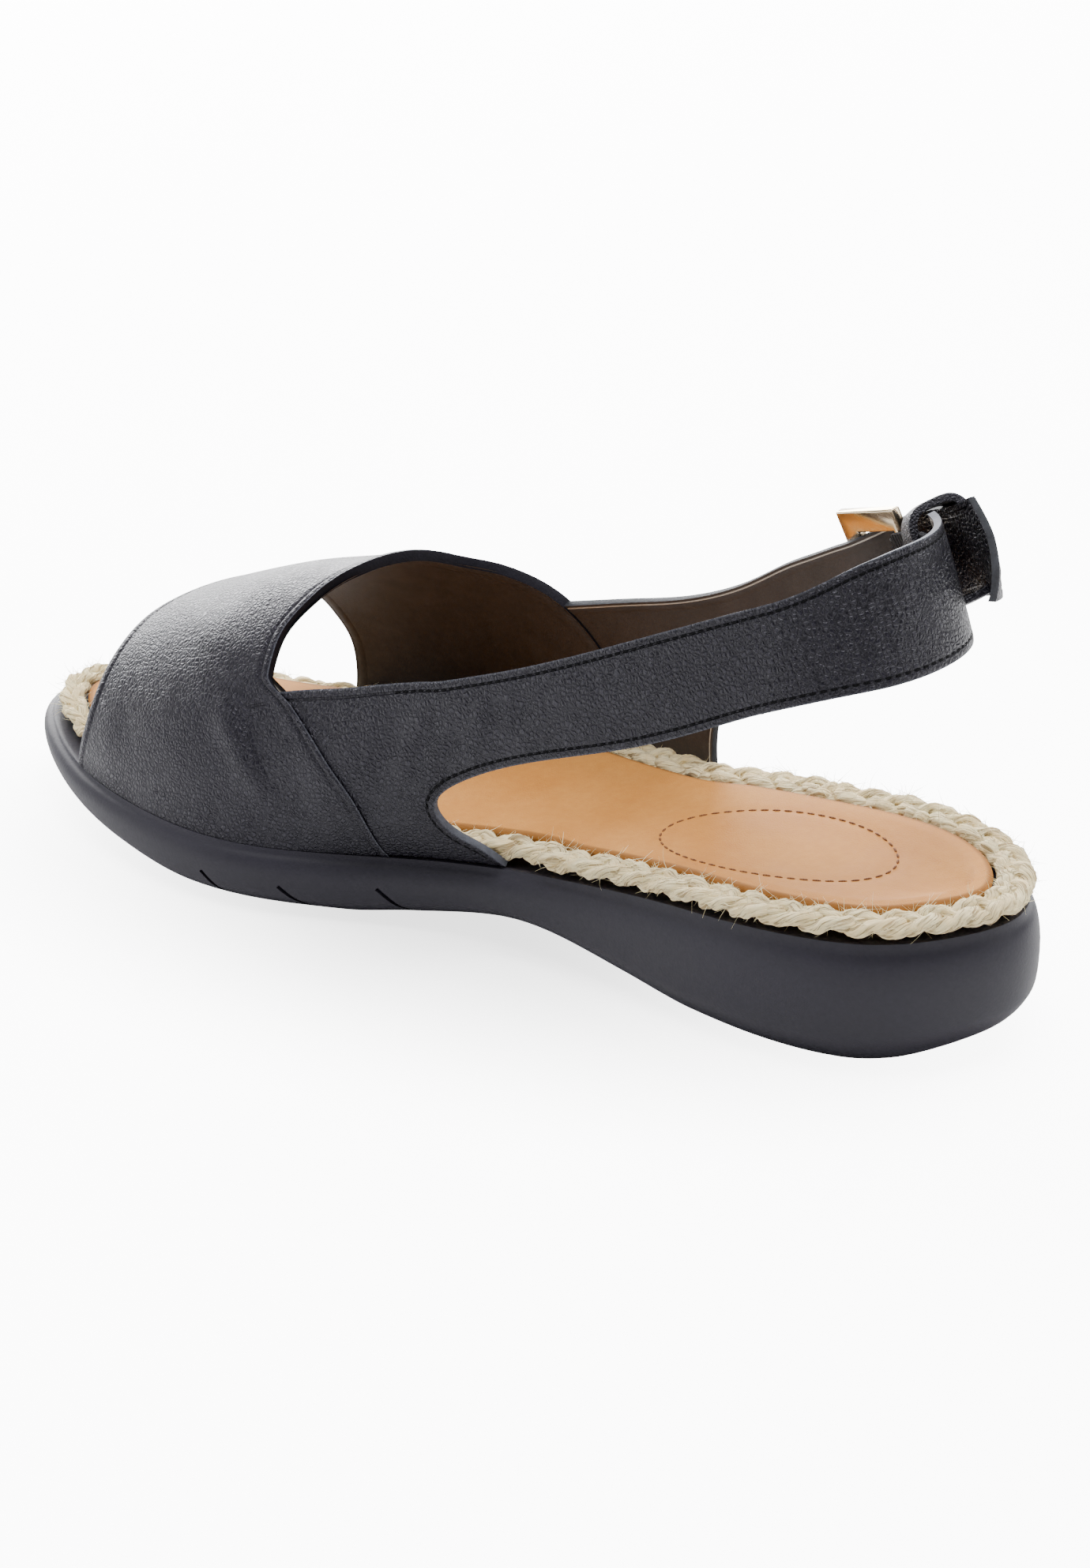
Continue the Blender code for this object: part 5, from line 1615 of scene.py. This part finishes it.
def make_buckle():
    """The frame with its window and slim bar, and the prong with its eye on the bar."""
    place = buckle_place()
    half, window = FRAME_ALONG / 2, place[4] / 2 + FRAME_PLAY
    tall = window + FRAME_BAR
    deselect()
    bpy.ops.mesh.primitive_cube_add(size=1.0)
    body = bpy.context.object
    body.name = body.data.name = "buckle_frame_gold"
    body.data.transform(Matrix.Diagonal((2 * half, 2 * tall, FRAME_THICKNESS, 1.0)))
    deselect()
    bpy.ops.mesh.primitive_cube_add(size=1.0)
    hole = bpy.context.object
    low, high = -half + FRAME_BAR, half - 2 * BAR_RADIUS
    spot = Matrix.Translation(((low + high) / 2, 0.0, 0.0))
    hole.data.transform(spot @ Matrix.Diagonal((high - low, 2 * window, 0.02, 1.0)))
    cut_away(body, hole)
    round_edges(body, 0.00045, 3, 40.0)
    body.data.transform(local_matrix(place))
    finish_piece(body, ["buckle_frame"], [material("gold")], 30.0)

    deselect()
    length = BAR_AT + FRAME_ALONG / 2 + 0.0005
    bpy.ops.mesh.primitive_cylinder_add(vertices=16, radius=PRONG_RADIUS, depth=length)
    prong = bpy.context.object
    prong.name = prong.data.name = "buckle_prong_gold"
    turn = Matrix.Rotation(math.pi / 2, 4, "Y")
    level = FRAME_THICKNESS / 2 + CLEARANCE + PRONG_RADIUS
    prong.data.transform(Matrix.Translation((BAR_AT - length / 2, 0.0, level)) @ turn)
    round_edges(prong, 0.0005, 3, 40.0)
    deselect()
    bpy.ops.mesh.primitive_torus_add(
        major_radius=BAR_RADIUS * 1.41 + CLEARANCE + PRONG_RADIUS * 0.5, minor_radius=PRONG_RADIUS * 0.6,
        major_segments=28, minor_segments=10,
    )
    eye = bpy.context.object
    upright = Matrix.Rotation(math.pi / 2, 4, "X") @ Matrix.Diagonal((1.0, 1.0, 1.5, 1.0))
    eye.data.transform(Matrix.Translation((BAR_AT, 0.0, 0.0)) @ upright)
    joined([prong, eye])
    prong.data.transform(local_matrix(place))
    finish_piece(prong, ["buckle_prong"], [material("gold")], 40.0)


def make_elastic():
    """The elastic band, and its loop round the buckle's bar."""
    place = buckle_place()
    lines, _ = straight_lines(ELASTIC_ROWS, 90)
    shares = np.linspace(0.0, 1.0, 30)[None, :].repeat(len(lines), 0)
    outside = QUARTER_LIFT - CLEARANCE
    points = outer_lay(straight_plane(lines, shares), outside + lines[:, None, 4])
    band = laid_grid("elastic_band", points)
    face_out(band, lambda c: (min(c.x - HEEL_LOOP_IN, 0.0), c.y, 0.0))
    band.data.materials.append(material("elastic"))
    shape_with(band, "SOLIDIFY", thickness=ELASTIC_WALL, offset=-1.0)
    inside = BAR_RADIUS * math.sqrt(2.0) + CLEARANCE
    reach = place[4] / 2 - ELASTIC_MARGIN
    turns = np.linspace(0.0, 2 * math.pi, 49)
    matrix = local_matrix(place)
    table = []
    for turn in turns:
        radius = inside + ELASTIC_WALL
        x, z = BAR_AT + math.cos(turn) * radius, math.sin(turn) * radius
        table.append([tuple(matrix @ Vector((x, y, z))) for y in np.linspace(-reach, reach, 24)])
    loop = laid_grid("elastic_loop", np.array(table))
    centre = matrix @ Vector((BAR_AT, 0.0, 0.0))
    axis = Vector(place[2])

    def away(c):
        gap = c - centre
        return gap - axis * gap.dot(axis)

    face_out(loop, away)
    loop.data.materials.append(material("elastic"))
    shape_with(loop, "SOLIDIFY", thickness=ELASTIC_WALL, offset=-1.0)
    joined([band, loop])
    finish_piece(band, ["elastic_gore"], (), 50.0)


def make_keeper():
    """The leather loop round the straps, from a section swept round a squarish ring."""
    place = strap_place(KEEPER_AT, 0.0)
    inside = QUARTER_LIFT - ELASTIC_WALL - 2 * CLEARANCE - KEEPER_PLAY
    tall, centre = place[4] / 2 + KEEPER_ABOVE, inside + KEEPER_OUT
    half = KEEPER_WIDTH / 2
    matrix = local_matrix(place)
    corner, table = KEEPER_CORNER, []
    rounding = [(half, corner), (half - corner * 0.3, corner * 0.3), (half - corner, 0.0)]
    left = [(-across, KEEPER_WALL - drop) for across, drop in rounding]
    right = [(across, KEEPER_WALL - drop) for across, drop in rounding[::-1]]
    crown = (0.0, KEEPER_WALL + KEEPER_CROWN)
    section = [(-half, 0.0), *left, crown, *right, (half, 0.0), (0.0, 0.0)]
    for step in range(KEEPER_STEPS):
        turn = 2 * math.pi * step / KEEPER_STEPS
        c, s = (math.copysign(abs(f(turn)) ** KEEPER_SQUARE, f(turn)) for f in (math.cos, math.sin))
        ring = [matrix @ Vector((b, s * (tall + w), centre + c * (KEEPER_OUT + w))) for b, w in section]
        table.append([tuple(p) for p in ring])
    faces = ring_faces(KEEPER_STEPS, len(section), True)
    keeper = mesh_object("keeper_leather_loop", np.array(table).reshape(-1, 3), faces)
    set_edge(keeper, np.full(len(keeper.data.vertices), 0.002))
    turned_out(keeper)
    finish_piece(keeper, ["keeper_loop"], [material("keeper_leather")], 40.0)


# Stage


def light(name, spot, width, height, power):
    """A softbox at a spot, turned to the sandal."""
    lamp = bpy.data.lights.new(name, "AREA")
    lamp.energy, lamp.size = power, width
    if height != width:
        lamp.shape, lamp.size_y = "RECTANGLE", height
    thing = bpy.data.objects.new(name, lamp)
    bpy.context.scene.collection.objects.link(thing)
    thing.location = spot
    thing.rotation_euler = (Vector(LAMP_TARGET) - Vector(spot)).to_track_quat("-Z", "Y").to_euler()


def make_stage():
    """The paper floor with its painted shadow, the even light, the softboxes and the fitted camera."""
    look = bpy.context.scene.sandal_stage
    deselect()
    bpy.ops.mesh.primitive_circle_add(vertices=96, radius=4.0, fill_type="NGON")
    floor = bpy.context.object
    floor.name = floor.data.name = "floor"
    finish, tree, shader, place = new_material("floor_paper", 0.9)
    cloud = use_group(tree, mottle_group(), {"Vector": place}, {"Scale": 3.0, "Contrast": 0.5})
    paper = tuple(look.floor)
    duller = tuple(0.985 * c for c in paper)
    tree.links.new(blend_colour(tree, cloud.outputs[0], duller, paper), shader.inputs["Base Color"])
    seen = tree.nodes.new("ShaderNodeLightPath").outputs["Is Camera Ray"]
    shader.inputs["Emission Color"].default_value = (1.0, 1.0, 1.0, 1.0)
    # Painted shadow: in an oval beside the sole the paper's glow fades, most in the middle
    oval = {"Location": PAINTED_SHADOW_AT, "Scale": PAINTED_SHADOW_SIZE}
    near = put(tree, "Mapping", {"Vector": place}, oval, vector_type="TEXTURE")
    inward = put(tree, "TexGradient", {"Vector": near.outputs[0]}, gradient_type="SPHERICAL")
    lit = ramp(tree, inward.outputs["Fac"], 0.0, 0.9, 1.0, 1.0 - look.shade)
    glow = math_node(tree, "MULTIPLY", seen, look.glow)
    tree.links.new(math_node(tree, "MULTIPLY", glow, lit), shader.inputs["Emission Strength"])
    floor.data.materials.append(finish)
    world = bpy.data.worlds.new("studio")
    bpy.context.scene.world = world
    world.use_nodes = True
    tree = world.node_tree
    sky = tree.nodes["Background"]
    sky.inputs["Color"].default_value = (1.0, 1.0, 1.0, 1.0)
    seen = tree.nodes.new("ShaderNodeLightPath").outputs["Is Camera Ray"]
    strength = math_node(tree, "MULTIPLY_ADD", seen, look.backdrop, look.sky)
    tree.links.new(strength, sky.inputs["Strength"])
    for name, spot, width, height, power in LAMPS:
        light(name, spot, width, height, getattr(look, power))
    turn, lift = math.radians(CAMERA_AZIMUTH), math.radians(CAMERA_ELEVATION)
    back = Vector((math.sin(turn) * math.cos(lift), -math.cos(turn) * math.cos(lift), math.sin(lift)))
    lens = bpy.data.cameras.new("camera")
    lens.lens, lens.sensor_width, lens.clip_start = CAMERA_LENS, 36.0, 0.01
    camera = bpy.data.objects.new("camera", lens)
    bpy.context.scene.collection.objects.link(camera)
    camera.location = Vector(CAMERA_TARGET) + back * CAMERA_DISTANCE
    camera.rotation_euler = (-back).to_track_quat("-Z", "Y").to_euler()
    bpy.context.scene.camera = camera


# Add-on


def colour_value(label, text, value):
    """A colour that the panel shows."""
    return bpy.props.FloatVectorProperty(
        name=label, description=text, default=value, subtype="COLOR", min=0.0, max=1.0,
    )


def length_value(label, text, value):
    """A length that the panel shows."""
    return bpy.props.FloatProperty(name=label, description=text, default=value, unit="LENGTH", precision=5)


def plain_value(label, text, value, **limits):
    """A number from 0 up that the panel shows."""
    return bpy.props.FloatProperty(name=label, description=text, default=value, min=0.0, **limits)


def power_value(label, text, value):
    """A softbox's power that the panel shows."""
    return plain_value(label, "Power of the " + text, value, unit="POWER")


class SandalSizes(bpy.types.PropertyGroup):
    stitch_pitch: length_value("Stitch pitch", "From one edge stitch to the next", 0.0022)
    oval_pitch: length_value("Oval pitch", "From one stitch of the heel oval to the next", 0.0028)
    braid_swing: length_value("Braid swing", "How far a strand swings to each side", 0.0027)
    braid_lift: length_value("Braid lift", "How far a strand rises and dips", 0.0007)
    strand_width: length_value("Strand width", "Width of one strand of the rope", 0.0038)
    strand_thickness: length_value("Strand thickness", "Thickness of one strand", 0.0028)
    fuzz_count: bpy.props.IntProperty(name="Fuzz", description="Number of loose fibres", default=9000, min=0)


class SandalColours(bpy.types.PropertyGroup):
    leather: colour_value("Leather", "Dyed leather of the upper", (0.0046, 0.0041, 0.0072))
    # The edge paint's grey; it also colours the pale edge band, which is partly a painted highlight
    edge: colour_value("Cut edge", "Painted cut edge of the straps", (0.090, 0.095, 0.115))
    lining: colour_value("Lining", "Lining inside the upper", (0.058, 0.048, 0.043))
    cut_line: colour_value("Cut line", "Pale line where the lining is cut", (0.46, 0.42, 0.37))
    sole: colour_value("Sole", "Moulded rubber", (0.0155, 0.0142, 0.0215))
    rope: colour_value("Rope", "Plant fibre", (0.90, 0.68, 0.34))
    rope_light: colour_value("Rope, light", "Bleached fibre", (1.0, 0.89, 0.56))
    # Colour of the painted shade in the gaps between fibres
    rope_dark: colour_value("Rope, dark", "Gaps between fibres", (0.30, 0.19, 0.08))
    footbed: colour_value("Footbed", "Tan insole leather", (0.42, 0.170, 0.036))
    footbed_light: colour_value("Footbed, light", "Paler dye", (0.52, 0.240, 0.064))
    footbed_speck: colour_value("Footbed, specks", "Fine specks of the dye", (0.35, 0.125, 0.030))
    footbed_edge: colour_value("Footbed, edge", "Rubbed edge", (0.20, 0.085, 0.025))
    oval_thread: colour_value("Oval thread", "Thread of the heel oval", (0.20, 0.085, 0.035))
    gold: colour_value("Gold", "Pale gold plating", (0.78, 0.64, 0.45))


class SandalStage(bpy.types.PropertyGroup):
    floor: colour_value("Floor", "Pale paper floor", (0.90, 0.90, 0.90))
    glow: plain_value("Floor glow", "Brightness that the lit paper adds", 8.5)
    # How strong the painted shadow beside the shoe is
    shade: plain_value("Shade", "How much the paper's glow fades beside the shoe", 0.72, max=1.0)
    backdrop: plain_value("Backdrop", "Brightness of the plain backdrop", 13.0)
    sky: plain_value("Sky", "Strength of the even light", 0.16)
    overhead: power_value("Overhead", "overhead softbox", 36.0)
    key: power_value("Key", "softbox at the left", 4.5)
    back: power_value("Back", "softbox behind", 30.0)
    low: power_value("Low", "low softbox beyond the toe", 60.0)
    heel: power_value("Heel", "small softbox behind the heel", 3.0)


class SANDAL_OT_outsole(bpy.types.Operator):
    """Makes the moulded sole with its notches"""

    bl_idname = "sandal.outsole"
    bl_label = "Outsole"

    def execute(self, context):
        make_outsole()
        return {"FINISHED"}


class SANDAL_OT_rope(bpy.types.Operator):
    """Braids the rope from three strands and adds its loose fibres"""

    bl_idname = "sandal.rope"
    bl_label = "Rope"

    def execute(self, context):
        make_rope()
        return {"FINISHED"}


class SANDAL_OT_footbed(bpy.types.Operator):
    """Makes the footbed with its sunk heel and stitched oval"""

    bl_idname = "sandal.footbed"
    bl_label = "Footbed"

    def execute(self, context):
        make_footbed()
        make_oval()
        return {"FINISHED"}


class SANDAL_OT_upper(bpy.types.Operator):
    """Lays the vamp, both quarters and their straps, and sews their edges"""

    bl_idname = "sandal.upper"
    bl_label = "Upper"

    def execute(self, context):
        make_vamp()
        make_inner_quarter()
        make_outer_quarter()
        make_edge_stitches()
        return {"FINISHED"}


class SANDAL_OT_fastening(bpy.types.Operator):
    """Makes the buckle, its prong, the elastic and the keeper loop"""

    bl_idname = "sandal.fastening"
    bl_label = "Fastening"

    def execute(self, context):
        make_buckle()
        make_elastic()
        make_keeper()
        return {"FINISHED"}


class SANDAL_OT_stage(bpy.types.Operator):
    """Sets the floor, the soft lights and the camera"""

    bl_idname = "sandal.stage"
    bl_label = "Stage"

    def execute(self, context):
        make_stage()
        return {"FINISHED"}


STEPS = (
    SANDAL_OT_outsole, SANDAL_OT_rope, SANDAL_OT_footbed,
    SANDAL_OT_upper, SANDAL_OT_fastening, SANDAL_OT_stage,
)
GROUPS = {"sandal_sizes": SandalSizes, "sandal_colours": SandalColours, "sandal_stage": SandalStage}


class SANDAL_PT_panel(bpy.types.Panel):
    """Lists the sandal's pieces, sizes and colours"""

    bl_idname = "SANDAL_PT_panel"
    bl_label = "Slingback sandal"
    bl_space_type = "VIEW_3D"
    bl_region_type = "UI"
    bl_category = "Sandal"

    def draw(self, context):
        for step in STEPS:
            self.layout.operator(step.bl_idname)
        for name in GROUPS:
            group = getattr(context.scene, name)
            box = self.layout.box()
            for key in group.__annotations__:
                box.prop(group, key)


def register():
    for kind in (*GROUPS.values(), *STEPS, SANDAL_PT_panel):
        bpy.utils.register_class(kind)
    for name, kind in GROUPS.items():
        setattr(bpy.types.Scene, name, bpy.props.PointerProperty(type=kind))


def unregister():
    for name in GROUPS:
        delattr(bpy.types.Scene, name)
    for kind in reversed((*GROUPS.values(), *STEPS, SANDAL_PT_panel)):
        bpy.utils.unregister_class(kind)


def main():
    """Makes every piece and the stage."""
    register()
    for step in STEPS:
        group, name = step.bl_idname.split(".")
        getattr(getattr(bpy.ops, group), name)()


if __name__ == "__main__":
    main()
